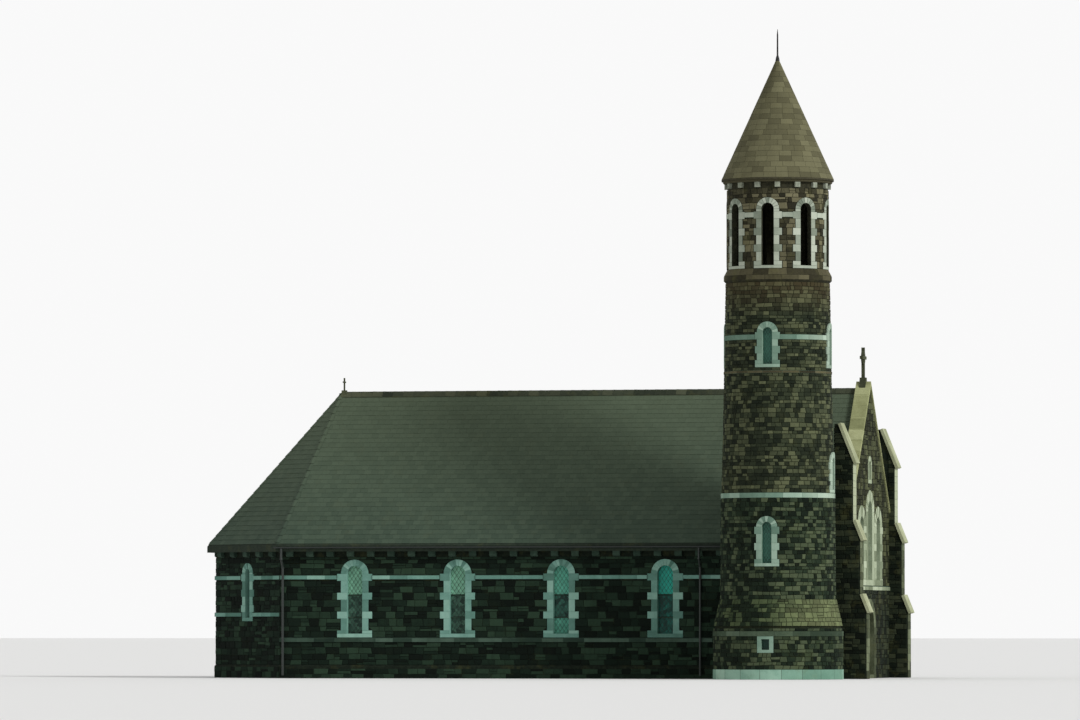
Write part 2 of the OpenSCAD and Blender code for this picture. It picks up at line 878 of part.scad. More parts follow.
module door_surround() {
    color("gainsboro") on_front() {
        difference() {
            through(-dress_out, dress_t) door_outline();
            through(-over, dress_t + over) translate([0, floor_z]) arch(door_w, 0, door_spring_z - floor_z);
        }
        through(dress_t, wall_t) intersection() {
            door_arch();
            translate([-nave_w / 2, 0]) square([nave_w, floor_z]);
        }
    }
}

module door_leaves() {
    split = 6;
    color("saddlebrown") on_front() through(door_in, door_in + leaf_t) difference() {
        translate([0, floor_z]) arch(door_w, bed, door_spring_z - floor_z, -bed);
        translate([-split / 2, 0]) square([split, tall]);
    }
}

// A ring of the tower's wall between two heights
module stage(z0, z1, r0, r1) {
    on_tower() rotate_extrude() polygon([[shaft_r, z0], [r0, z0], [r1, z1], [shaft_r, z1]]);
}

// Surround outline, cut and light of a round-headed tower window
module slit_arch(z0, spring, g = 0) arch(slit_band_w, z0 - slit_stool_h, spring, g);

module slit_surround(z0, spring, g = 0) {
    slit_arch(z0, spring, g);
    jamb_blocks(slit_band_w, block_out / 2, 3, z0 - slit_stool_h, spring - block_h, g);
}

module slit_cut(turn, r, z0, spring) {
    on_tower(turn) {
        through(-r - over, -r + dress_t + bed) slit_surround(z0, spring, bed);
        through(-r - over, -shaft_r + 3 * over) slit_arch(z0, spring, bed);
    }
}

// Dressed stones that follow the tower's curve at radius r
module slit_stones(turn, r, z0, spring) {
    on_tower(turn) intersection() {
        through(-r - over, -r + dress_t) difference() {
            slit_surround(z0, spring);
            arch(slit_w, z0, spring);
        }
        cylinder(r = r + dress_out, h = tall);
    }
}

module slit_pane(turn, r, z0, spring) {
    on_tower(turn) through(-r + glass_in, -r + glass_in + glass_t) arch(slit_w, z0, spring, -bed);
}

cardinals = [0, 90, 180, 270];
vent_z = batter_z - band_h - vent_h - vent_band_h;

module vent_outline(g = 0) {
    translate([-vent_w / 2 - vent_band_w - g, vent_z - vent_band_h - g])
        square([vent_w + 2 * (vent_band_w + g), vent_h + 2 * vent_band_h + g]);
}

module vent_light(g = 0) {
    translate([-vent_w / 2 - g, vent_z - g]) square([vent_w + 2 * g, vent_h + 2 * g]);
}

module tower_base_course() color("gainsboro") stage(0, foot_h, foot_r, foot_r);

module tower_base_drum() {
    groove = 40;
    color("olivedrab") difference() {
        on_tower() rotate_extrude() polygon([
            [shaft_r, foot_h], [drum_r, foot_h], [drum_r, batter_z], [batter_r, batter_z],
            [batter_r, batter_z + 3 * groove], [batter_r - groove, batter_z + 3 * groove],
            [batter_r - groove, batter_z + 5 * groove], [batter_r, batter_z + 5 * groove],
            [lower_r + groove / 2, lower_z], [shaft_r, lower_z]
        ]);
        on_tower() {
            through(-drum_r - over, -drum_r + dress_t + bed) vent_outline(bed);
            through(-drum_r - over, -shaft_r + 3 * over) vent_light(bed);
        }
    }
}

module tower_lower_stage() {
    color("darkolivegreen") difference() {
        stage(lower_z, middle_z, lower_r, lower_top_r);
        slit_cut(0, lower_r, slit_low_z, slit_low_spring);
    }
}

module tower_middle_stage() {
    color("darkolivegreen") difference() {
        stage(middle_z, upper_z, middle_r, upper_r);
        slit_cut(90, middle_r, slit_mid_z, slit_mid_spring);
    }
}

module tower_upper_stage() {
    color("darkolivegreen") difference() {
        stage(upper_z, ledge_z, upper_r, ledge_r);
        for (turn = cardinals) slit_cut(turn, upper_r, slit_high_z, slit_high_spring);
    }
}

// A thin ring round the wall between heights z and z + h, where the wall has radius r
module band(z, h, r0, r1) {
    on_tower() rotate_extrude() polygon([
        [r0 + bed, z], [r0 + band_out, z], [r0 + band_out, z + h], [r1 + bed, z + h]
    ]);
}

function upper_at(z) = upper_r + (ledge_r - upper_r) * (z - upper_z) / (ledge_z - upper_z);
function middle_at(z) = middle_r + (upper_r - middle_r) * (z - middle_z) / (upper_z - middle_z);

module tower_bands() {
    color("gainsboro") {
        difference() {
            band(batter_z - band_h, band_h, drum_r, drum_r);
            on_tower() through(-2 * drum_r, 0) vent_outline(bed);
        }
        difference() {
            band(middle_z, band_h, middle_r, middle_at(middle_z + band_h));
            on_tower(90) through(-2 * drum_r, 0) slit_surround(slit_mid_z, slit_mid_spring, bed);
        }
        band(upper_z, band_h / 2, upper_r, upper_at(upper_z + band_h / 2));
        difference() {
            band(high_band_z, band_h, upper_at(high_band_z), upper_at(high_band_z + band_h));
            for (turn = cardinals) on_tower(turn) through(-2 * drum_r, 0)
                slit_surround(slit_high_z, slit_high_spring, bed);
        }
        difference() {
            band(impost_z, band_h, belfry_r, belfry_r);
            for (k = [0:arch_n - 1]) on_tower(k * 360 / arch_n) through(-2 * drum_r, 0)
                belfry_outline(bed);
        }
    }
}

module tower_window_surrounds() {
    color("gainsboro") {
        on_tower() intersection() {
            through(-drum_r - over, -drum_r + dress_t) difference() {
                vent_outline();
                vent_light();
            }
            cylinder(r = drum_r + dress_out, h = tall);
        }
        slit_stones(0, lower_r, slit_low_z, slit_low_spring);
        slit_stones(90, middle_r, slit_mid_z, slit_mid_spring);
        for (turn = cardinals) slit_stones(turn, upper_r, slit_high_z, slit_high_spring);
    }
}

module tower_window_glass() {
    color("teal", 0.5) {
        on_tower() through(-drum_r + glass_in, -drum_r + glass_in + glass_t) vent_light(-bed);
        slit_pane(0, lower_r, slit_low_z, slit_low_spring);
        slit_pane(90, middle_r, slit_mid_z, slit_mid_spring);
        for (turn = cardinals) slit_pane(turn, upper_r, slit_high_z, slit_high_spring);
    }
}

// Belfry: round arches through a round wall, each lined with long and short stones
module belfry_outline(g = 0) {
    arch(arch_band_w, belfry_z, arch_spring, g);
    jamb_blocks(arch_band_w, arch_block_out, 4, belfry_z, impost_z - tie_drop, g);
}

module belfry_wall() {
    ledge_out = 90;
    color("rosybrown") difference() {
        on_tower() rotate_extrude() polygon([
            [shaft_r, ledge_z], [ledge_r, ledge_z], [ledge_r + ledge_out, ledge_z + ledge_out],
            [ledge_r + ledge_out, belfry_z - 3 * ledge_out], [belfry_r, belfry_z],
            [belfry_r, belfry_top], [shaft_r, belfry_top]
        ]);
        for (k = [0:arch_n - 1]) on_tower(k * 360 / arch_n) {
            through(-belfry_r - over, -belfry_r + arch_dress_t + bed) belfry_outline(bed);
            through(-belfry_r - over, -shaft_r / 2) arch(arch_band_w, belfry_z, arch_spring, bed);
        }
    }
}

module belfry_surrounds() {
    color("gainsboro") for (k = [0:arch_n - 1]) on_tower(k * 360 / arch_n) intersection() {
        through(-belfry_r - over, -belfry_r + arch_dress_t) difference() {
            belfry_outline();
            arch(arch_w, arch_z, arch_spring);
        }
        cylinder(r = belfry_r + dress_out, h = tall);
    }
}

module belfry_floor() {
    color("peru") on_tower() translate([0, 0, belfry_z - deck_t]) cylinder(r = shaft_r - bed, h = deck_t);
}

// Eaves course of the tower with its ring of corbels
module belfry_eaves() {
    reach_r = eaves_r - band_out;
    corbel_r = reach_r - band_out / 2;
    color("burlywood") {
        on_tower() rotate_extrude() polygon([
            [shaft_r, belfry_top], [reach_r, belfry_top], [eaves_r, belfry_top + band_out],
            [eaves_r, belfry_top + eaves_h], [shaft_r, belfry_top + eaves_h]
        ]);
        for (k = [0:tower_corbel_n - 1]) on_tower((k + 0.5) * 360 / tower_corbel_n)
            difference() {
                intersection() {
                    translate([-tower_corbel_w / 2, -reach_r, belfry_top - tower_corbel_h])
                        cube([tower_corbel_w, reach_r, tower_corbel_h + band_out / 2]);
                    cylinder(r = corbel_r, h = tall);
                }
                cylinder(r = belfry_r + bed, h = tall);
            }
    }
}

module cone_roof() {
    z0 = belfry_top + eaves_h;
    rim = 60;
    inner = eaves_r - cone_t;
    color("tan") on_tower() rotate_extrude() polygon([
        [inner, z0], [eaves_r + rim, z0], [eaves_r + rim, z0 + rim], [cone_tip_r, z0 + cone_h],
        [0, z0 + cone_h], [0, z0 + cone_h * inner / eaves_r]
    ]);
}

module spire_finial() {
    z0 = belfry_top + eaves_h + cone_h;
    collar = 120;
    flange = 20;
    stem_r = 35;
    head_r = 30;
    point_r = 8;
    color("black") on_tower() rotate_extrude() polygon([
        [0, z0], [cone_tip_r + flange, z0], [cone_tip_r, z0 + collar],
        [stem_r, z0 + 2 * collar], [head_r, z0 + spike_h - 2 * collar],
        [point_r, z0 + spike_h], [0, z0 + spike_h]
    ]);
}

nave_floor();
plinth();
near_wall();
far_wall();
apse_near_wall();
apse_end_wall();
apse_far_wall();
front_gable_wall();
gable_coping();
gable_cross();
near_pier();
far_pier();
pier_weatherings();
near_roof_slope();
far_roof_slope();
apse_roof();
ridge_tiles();
apse_finial();
near_corbel_table();
far_corbel_table();
apse_corbel_table();
rainwater_pipes();
string_courses();
nave_window_surrounds();
nave_window_glass();
apse_window_surrounds();
apse_window_glass();
front_window_surrounds();
front_window_glass();
door_surround();
door_leaves();
tower_base_course();
tower_base_drum();
tower_lower_stage();
tower_middle_stage();
tower_upper_stage();
tower_bands();
tower_window_surrounds();
tower_window_glass();
belfry_wall();
belfry_surrounds();
belfry_floor();
belfry_eaves();
cone_roof();
spire_finial();
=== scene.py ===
"""Small stone chapel with a canted apse, a gabled front between stepped piers and a round bell tower.

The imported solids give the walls, roofs, piers, tower and dressings. This script lays the rubble, the
dressed blocks, the slates and the tiles on them, fits the leadwork, the doors and the ironwork,
finishes every surface, and sets the chapel in a plain studio.
"""

import logging
import math
import random
from collections.abc import Callable, Iterable, Sequence
from dataclasses import dataclass, field, replace
from enum import Enum
from functools import partial

import bpy
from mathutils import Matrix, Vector


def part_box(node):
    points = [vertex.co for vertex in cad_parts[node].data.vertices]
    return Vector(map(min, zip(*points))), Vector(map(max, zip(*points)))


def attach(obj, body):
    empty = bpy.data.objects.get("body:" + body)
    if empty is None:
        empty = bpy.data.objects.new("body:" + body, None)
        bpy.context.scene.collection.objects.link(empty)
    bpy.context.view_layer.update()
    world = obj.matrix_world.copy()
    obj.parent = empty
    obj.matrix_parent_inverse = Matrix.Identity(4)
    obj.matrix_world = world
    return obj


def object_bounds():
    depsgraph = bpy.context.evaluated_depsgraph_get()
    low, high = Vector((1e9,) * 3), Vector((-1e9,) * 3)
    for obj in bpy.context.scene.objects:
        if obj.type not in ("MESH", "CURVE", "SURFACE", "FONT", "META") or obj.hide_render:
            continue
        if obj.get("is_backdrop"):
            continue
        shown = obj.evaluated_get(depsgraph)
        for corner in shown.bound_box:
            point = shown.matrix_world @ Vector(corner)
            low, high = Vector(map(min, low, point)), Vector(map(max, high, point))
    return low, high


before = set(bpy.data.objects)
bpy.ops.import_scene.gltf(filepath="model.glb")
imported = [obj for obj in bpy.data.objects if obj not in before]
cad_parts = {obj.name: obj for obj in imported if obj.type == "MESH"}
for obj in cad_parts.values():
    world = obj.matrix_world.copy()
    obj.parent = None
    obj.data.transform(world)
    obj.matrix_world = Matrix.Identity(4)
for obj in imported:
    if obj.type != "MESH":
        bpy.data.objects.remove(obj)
CAD_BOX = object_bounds()

log = logging.getLogger("chapel")

Flat = tuple[float, float]
Span = tuple[float, float]
Outline = list[Flat]
Display = tuple[int, int, int]
Direction = tuple[float, float, float]
Line = list[Vector]
Material = bpy.types.Material
Socket = bpy.types.NodeSocket
Tree = bpy.types.NodeTree
Node = bpy.types.Node
Piece = bpy.types.Object
Links = dict[int | str, object]
Heights = tuple[float, ...]
UP = Vector((0.0, 0.0, 1.0))
TURN = 2 * math.pi
TURN_DEGREES = 360
BODY = "root"
SLIVER = 0.02
FINE_JOINT = 0.008
LEAD_R = 0.006
LEAD_RISE = 1.5
WORK_INPUTS = ("Least", "Most", "Arris", "Face", "Skew")


def linear(display: Display) -> tuple[float, ...]:
    """Turn an 8-bit display colour into linear values, by the sRGB curve."""
    parts = [level / 255 for level in display]
    return (*(part / 12.92 if part <= 0.04045 else ((part + 0.055) / 1.055) ** 2.4 for part in parts), 1.0)


def low_corner(node: str) -> Vector:
    """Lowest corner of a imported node."""
    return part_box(node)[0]


def high_corner(node: str) -> Vector:
    """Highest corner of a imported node."""
    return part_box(node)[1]


def tower_plan() -> tuple[float, float, float]:
    """Axis and foot radius of the tower, read from its packed base course.

    Returns:
        The axis's X and Y, and the radius.
    """
    low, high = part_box("tower_base_course")
    radius = (high.x - low.x) / 2
    return (low.x + high.x) / 2, low.y + radius, radius


def spaced(count: int, low: float, high: float) -> Heights:
    """Evenly spaced heights from low to high."""
    return tuple(low + (high - low) * k / (count - 1) for k in range(count))


class Slot(Enum):
    """Material slots."""

    NAVE = "nave_rubble"
    TOWER = "tower_rubble"
    BELFRY = "belfry_stone"
    CONE = "cone_stone"
    GABLE = "gable_stone"
    PIER = "pier_stone"
    DRESSED = "dressed_stone"
    FLOOR = "floor_stone"
    SLATE = "roof_slate"
    RIDGE = "ridge_clay"
    IRON = "painted_iron"
    GLASS = "leaded_glass"
    WOOD = "door_wood"


class Work(Enum):
    """How a laid stone is worked.

    The values are its least and greatest height above its bed, the height of its worn edge, the share of
    its outline left inside that edge, and how strongly dark stones outnumber pale ones, with 1 for even
    numbers. They go to the inputs named in WORK_INPUTS.
    """

    RUBBLE = (0.022, 0.038, 0.009, 0.88, 1.25)
    ASHLAR = (0.016, 0.019, 0.003, 0.975, 1.0)
    SLATE = (0.007, 0.011, 0.0015, 0.99, 1.0)
    BOARD = (0.018, 0.020, 0.003, 0.985, 1.0)


class NodeGroup:
    """Thin builder for a node tree with a named interface."""

    def __init__(self, name: str, kind: str, inputs: Iterable[tuple[str, str, object]],
                 outputs: Iterable[tuple[str, str]]) -> None:
        """Start a tree with its sockets.

        Args:
            name: Name of the tree.
            kind: Geometry or Shader.
            inputs: Name, kind and starting value of each input.
            outputs: Name and kind of each output.
        """
        self.tree = bpy.data.node_groups.new(name, f"{kind}NodeTree")
        self.source = self.tree.nodes.new("NodeGroupInput")
        self.target = self.tree.nodes.new("NodeGroupOutput")
        sockets = self.tree.interface
        for label, what, value in inputs:
            socket = sockets.new_socket(label, in_out="INPUT", socket_type=f"NodeSocket{what}")
            if value is not None:
                socket.default_value = value
        for label, what in outputs:
            sockets.new_socket(label, in_out="OUTPUT", socket_type=f"NodeSocket{what}")

    def node(self, kind: str, links: Links | None = None, **settings: object) -> Node:
        """Add a node, set it and feed its inputs."""
        return add_node(self.tree, kind, links, **settings)

    def value(self, name: str) -> Socket:
        """Socket that carries a named input into the tree."""
        return self.source.outputs[name]

    def put(self, name: str, socket: Socket) -> None:
        """Join a socket to a named output."""
        self.tree.links.new(socket, self.target.inputs[name])

    def dress(self, name: str, geometry: Socket) -> Tree:
        """End a geometry tree: make its instances real, give them the material and put them out.

        Args:
            name: Name of the output.
            geometry: The geometry.

        Returns:
            The finished tree.
        """
        real = self.node("GeometryNodeRealizeInstances", {"Geometry": geometry})
        dressed = self.node("GeometryNodeSetMaterial", {
            "Geometry": real.outputs[0], "Material": self.value("Material")})
        self.put(name, dressed.outputs[0])
        return self.tree


def add_node(tree: Tree, kind: str, links: Links | None = None, **settings: object) -> Node:
    """Add a node to a tree, set it and feed its inputs.

    Args:
        tree: Tree that the node goes in.
        kind: Type of the node.
        links: For each input, by name or number, the socket or value that feeds it.
        **settings: Attributes of the node.

    Returns:
        The new node.
    """
    node = tree.nodes.new(kind)
    for key, value in settings.items():
        setattr(node, key, value)
    for key, value in (links or {}).items():
        if isinstance(value, Socket):
            tree.links.new(value, node.inputs[key])
        else:
            node.inputs[key].default_value = value
    return node


def reckon(tree: Tree, operation: str, *values: object, clamp: bool = False) -> Socket:
    """Work out a sum with a Math node."""
    node = add_node(tree, "ShaderNodeMath", dict(enumerate(values)), operation=operation, use_clamp=clamp)
    return node.outputs[0]


def ranged(tree: Tree, value: Socket, reach: Sequence[object], bottom: object = 0.0,
           top: object = 1.0) -> Socket:
    """Bring a value from one range to another with a Map Range node."""
    return add_node(tree, "ShaderNodeMapRange", dict(enumerate((value, *reach, bottom, top)))).outputs[0]


def blend(tree: Tree, share: Socket, first: object, second: object) -> Socket:
    """Blend two colours with a Mix node."""
    return add_node(tree, "ShaderNodeMix", {0: share, 6: first, 7: second}, data_type="RGBA").outputs[2]


def place_of(tree: Tree) -> Socket:
    """Place on the chapel, in the chapel's own frame."""
    return add_node(tree, "ShaderNodeTexCoord").outputs["Object"]


def axes_of(tree: Tree) -> bpy.types.NodeOutputs:
    """Place on the chapel, as X, Y and Z."""
    return add_node(tree, "ShaderNodeSeparateXYZ", {"Vector": place_of(tree)}).outputs


def new_material(name: str, rough: float) -> tuple[Material, Tree, bpy.types.NodeInputs]:
    """Start a material.

    Args:
        name: Name of the material.
        rough: Roughness of its surface.

    Returns:
        The material, its tree and the inputs of its surface.
    """
    made = bpy.data.materials.new(name)
    made.use_nodes = True
    surface = made.node_tree.nodes["Principled BSDF"].inputs
    surface["Roughness"].default_value = rough
    return made, made.node_tree, surface


@dataclass(frozen=True)
class Weathering:
    """Shader group that varies stone, slate and clay with mottling, runs and growth; growth laid along a sideways
    axis also paints a sunlit side paler, as painted sunlight.
    """

    even: float = 0.5
    dark_to_middle: Span = (0.0, 0.55)
    middle_to_light: Span = (0.45, 1.0)
    run_stretch: Direction = (2.6, 2.6, 0.22)
    run_reach: Span = (0.5, 0.75)
    patch_scale: float = 1.7
    patch_reach: Span = (0.52, 0.68)
    rough_change: float = 0.16

    def build(self) -> Tree:
        """Build the group.

        Returns:
            A group that puts out Color, Roughness and Height.
        """
        amounts = {"Tone": 0.5, "Mottle": 0.5, "Mottle Scale": 3.0, "Speckle": 0.3, "Streak": 0.2,
                   "Growth": 0.1, "Growth Cover": 0.0, "Growth From": -1.0, "Growth Full": -0.5,
                   "Grain Scale": 30.0, "Roughness": 0.9}
        colours = ("Dark", "Middle", "Light", "Growth And Sunlit Colour")
        group = NodeGroup("weathered_surface", "Shader", (
            *((name, "Float", amount) for name, amount in amounts.items()), ("Growth And Sunlit Axis", "Vector", UP),
            *((name, "Color", (0.2, 0.2, 0.2, 1.0)) for name in colours)),
            (("Color", "Color"), ("Roughness", "Float"), ("Height", "Float")))
        tree, value = group.tree, group.value
        place = place_of(tree)
        cloud = self.noise(tree, place, value("Mottle Scale"), 5.0, 0.62)
        mottle = reckon(tree, "SUBTRACT", cloud, self.even)
        grain = self.noise(tree, place, value("Grain Scale"), 3.0, 0.7)
        fine = reckon(tree, "SUBTRACT", grain, self.even)
        speckled = reckon(tree, "MULTIPLY_ADD", fine, value("Speckle"), value("Tone"))
        tone = reckon(tree, "MULTIPLY_ADD", mottle, value("Mottle"), speckled, clamp=True)
        lower = blend(tree, ranged(tree, tone, self.dark_to_middle), value("Dark"), value("Middle"))
        stone = blend(tree, ranged(tree, tone, self.middle_to_light), lower, value("Light"))
        stretched = add_node(tree, "ShaderNodeMapping", {"Vector": place, "Scale": self.run_stretch})
        runs = ranged(tree, self.noise(tree, stretched.outputs[0], 1.0, 4.0, 0.6), self.run_reach)
        streaked = blend(tree, reckon(tree, "MULTIPLY", runs, value("Streak")), stone, value("Dark"))
        patches = ranged(tree, self.noise(tree, place, self.patch_scale, 6.0, 0.7), self.patch_reach,
                         value("Growth Cover"))
        along = add_node(tree, "ShaderNodeVectorMath", {0: place, 1: value("Growth And Sunlit Axis")},
                         operation="DOT_PRODUCT").outputs["Value"]
        reached = ranged(tree, along, (value("Growth From"), value("Growth Full")))
        # Lichen patches, and along a sideways axis painted sunlight on the lit side.
        growth = reckon(tree, "MULTIPLY", patches, reckon(tree, "MULTIPLY", reached, value("Growth")))
        group.put("Color", blend(tree, growth, streaked, value("Growth And Sunlit Colour")))
        rough = reckon(tree, "MULTIPLY_ADD", mottle, self.rough_change, value("Roughness"), clamp=True)
        group.put("Roughness", rough)
        group.put("Height", grain)
        return tree

    def noise(self, tree: Tree, place: Socket, scale: object, detail: float, rough: float) -> Socket:
        """Noise at a place."""
        return add_node(tree, "ShaderNodeTexNoise", {
            "Vector": place, "Scale": scale, "Detail": detail, "Roughness": rough}).outputs["Fac"]


@dataclass(frozen=True)
class StoneFinish:
    """Display colours and texture of a stone, slate or clay surface."""

    name: str
    dark: Display
    middle: Display
    light: Display
    # Colour of lichen patches, and of painted sunlight where the axis runs sideways.
    growth: Display = (104, 104, 58)
    mottle: float = 0.3
    mottle_scale: float = 7.0
    speckle: float = 0.5
    streak: float = 0.25
    spread: float = 0.15
    growth_axis: Direction = (0.0, 0.0, 1.0)
    growth_rise: Span = (-1.0, -0.5)
    growth_cover: float = 0.0
    grain_scale: float = 26.0
    grain_depth: float = 0.012
    grain_strength: float = 0.8
    rough: float = 0.92
    gloss: float = 0.12
    laid: bool = True
    cap_z: float = math.inf
    cap: Display = (0, 0, 0)
    cap_fade: float = 0.005
    cap_share: float = 1.0
    ring_count: int = 0
    ring_joint: float = 0.008
    joint_colour: Display = (40, 46, 38)

    def bed(self) -> "StoneFinish":
        """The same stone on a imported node, which carries no tone for each block."""
        return replace(self, name=f"{self.name} bed", laid=False, mottle=1.2, mottle_scale=1.2)

    def material(self, group: Tree) -> Material:
        """Build the material.

        Args:
            group: The weathering group.

        Returns:
            The finished material.
        """
        made, tree, surface = new_material(self.name, self.rough)
        links: Links = {
            "Mottle": self.mottle, "Mottle Scale": self.mottle_scale, "Speckle": self.speckle,
            "Streak": self.streak, "Growth": self.spread, "Growth Cover": self.growth_cover,
            "Growth And Sunlit Axis": self.growth_axis, "Growth From": self.growth_rise[0],
            "Growth Full": self.growth_rise[1], "Grain Scale": self.grain_scale, "Roughness": self.rough,
            "Dark": linear(self.dark), "Middle": linear(self.middle), "Light": linear(self.light),
            "Growth And Sunlit Colour": linear(self.growth)}
        joint = None
        if self.laid:
            links["Tone"] = add_node(tree, "ShaderNodeAttribute", attribute_name="tone").outputs["Fac"]
        if self.ring_count:
            links["Tone"], joint = self.ringed(tree)
        effect = add_node(tree, "ShaderNodeGroup", links, node_tree=group).outputs
        bump = add_node(tree, "ShaderNodeBump", {
            "Height": effect["Height"], "Distance": self.grain_depth, "Strength": self.grain_strength})
        colour = effect["Color"]
        if joint is not None:
            colour = blend(tree, joint, colour, linear(self.joint_colour))
        if self.cap_z < math.inf:
            colour = self.capped(tree, colour)
        tree.links.new(colour, surface["Base Color"])
        tree.links.new(effect["Roughness"], surface["Roughness"])
        tree.links.new(bump.outputs["Normal"], surface["Normal"])
        surface["Specular IOR Level"].default_value = self.gloss
        return made

    def ringed(self, tree: Tree) -> tuple[Socket, Socket]:
        """Divide a round course of the tower into blocks.

        Args:
            tree: Node tree of the material.

        Returns:
            The tone of each block, and where the upright joints run.
        """
        axis_x, axis_y, _ = tower_plan()
        at = axes_of(tree)
        east, north = reckon(tree, "SUBTRACT", at["X"], axis_x), reckon(tree, "SUBTRACT", at["Y"], axis_y)
        along = reckon(tree, "MULTIPLY", reckon(tree, "ARCTAN2", north, east), self.ring_count / TURN)
        number = reckon(tree, "FLOOR", along)
        tone = add_node(tree, "ShaderNodeTexWhiteNoise", {"W": number}, noise_dimensions="1D")
        joint = reckon(tree, "LESS_THAN", reckon(tree, "PINGPONG", along, 0.5), self.ring_joint)
        return tone.outputs["Value"], joint

    def capped(self, tree: Tree, colour: Socket) -> Socket:
        """Turn the surface to the cap's colour above the height where the cap begins.

        Args:
            tree: Node tree of the material.
            colour: Colour of the surface below.

        Returns:
            The colour of the whole surface.
        """
        reach = (self.cap_z - self.cap_fade, self.cap_z + self.cap_fade)
        share = ranged(tree, axes_of(tree)["Z"], reach, 0.0, self.cap_share)
        return blend(tree, share, colour, linear(self.cap))


@dataclass(frozen=True)
class PlainFinish:
    """A surface of one colour, such as painted iron or lead."""

    name: str
    colour: Display
    rough: float
    metallic: float = 0.0

    def material(self, group: Tree) -> Material:
        """Build the material.

        Args:
            group: The weathering group, which a plain surface leaves out.

        Returns:
            The finished material.
        """
        made, _, surface = new_material(self.name, self.rough)
        surface["Base Color"].default_value = linear(self.colour)
        surface["Metallic"].default_value = self.metallic
        return made


@dataclass(frozen=True)
class GlassFinish:
    """Old leaded glass over darker lower lights, with a painted sky reflection: bright heads that pale towards the
    apse, and brighter lower lights near the middle of the wall.
    """

    name: str
    reflected_head: Display
    pale: Display
    deep: Display
    pane: float
    head_z: float = 3.45
    head_soft: float = 0.03
    reflection_fade_reach: Span = (3.5, -4.0)
    low_reflection_half: float = 1.0
    low_reflection_top: float = 2.52
    low_share: float = 0.02
    head_reflection_share: float = 0.74
    low_reflection_share: float = 0.5
    pane_share: float = 0.24
    rough: float = 0.22
    gloss: float = 0.15

    def material(self, group: Tree) -> Material:
        """Build the material.

        Args:
            group: The weathering group, which glass leaves out.

        Returns:
            The finished material.
        """
        made, tree, surface = new_material(self.name, self.rough)
        cells = add_node(tree, "ShaderNodeTexVoronoi", {"Vector": place_of(tree), "Scale": 1 / self.pane})
        parts = add_node(tree, "ShaderNodeSeparateColor", {"Color": cells.outputs["Color"]})
        at = axes_of(tree)
        reflected_head = ranged(tree, at["Z"], (self.head_z - self.head_soft, self.head_z + self.head_soft),
                      self.low_share, self.head_reflection_share)
        # Painted sky reflection in the heads, paler towards the apse.
        painted_reflection = blend(tree, ranged(tree, at["X"], self.reflection_fade_reach), linear(self.reflected_head), linear(self.pale))
        # Painted reflection in the lower lights near the middle of the wall.
        inside = reckon(tree, "LESS_THAN", reckon(tree, "ABSOLUTE", at["X"]), self.low_reflection_half)
        low_reflection = reckon(tree, "MULTIPLY", inside, reckon(tree, "LESS_THAN", at["Z"], self.low_reflection_top))
        level = reckon(tree, "MULTIPLY_ADD", low_reflection, self.low_reflection_share, reflected_head)
        share = reckon(tree, "MULTIPLY_ADD", parts.outputs[0], self.pane_share, level)
        tree.links.new(blend(tree, share, linear(self.deep), painted_reflection), surface["Base Color"])
        surface["Specular IOR Level"].default_value = self.gloss
        return made


Finish = StoneFinish | PlainFinish | GlassFinish


@dataclass
class Palette:
    """The chapel's finishes, each made into a material when it is first asked for."""

    finishes: dict[str, Finish]
    group: Tree = field(default_factory=Weathering().build)
    made: dict[str, Material] = field(default_factory=dict)

    def __getitem__(self, name: str) -> Material:
        """Material of a finish.

        Args:
            name: Name of the finish.

        Returns:
            The material.
        """
        if name not in self.made:
            self.made[name] = self.finishes[name].material(self.group)
        return self.made[name]


# Direction of the tower's sunlit side, along which some finishes paint paler stone as painted sunlight.
SUNLIT_TOWER_SIDE = (1.0, -0.3, 0.0)


def dressed(name: str, dark: Display, middle: Display, light: Display, **changes: object) -> StoneFinish:
    """Finish of dressed stone, which is more even than rubble.

    Args:
        name: Name of the finish.
        dark: Colour of its darkest stones.
        middle: Colour of most of its stones.
        light: Colour of its palest stones.
        **changes: What else sets it apart.

    Returns:
        The finish.
    """
    even = StoneFinish(name, dark, middle, light, mottle=0.7, mottle_scale=2.0, speckle=0.3, streak=0.3,
                       grain_depth=0.006)
    return replace(even, **changes)


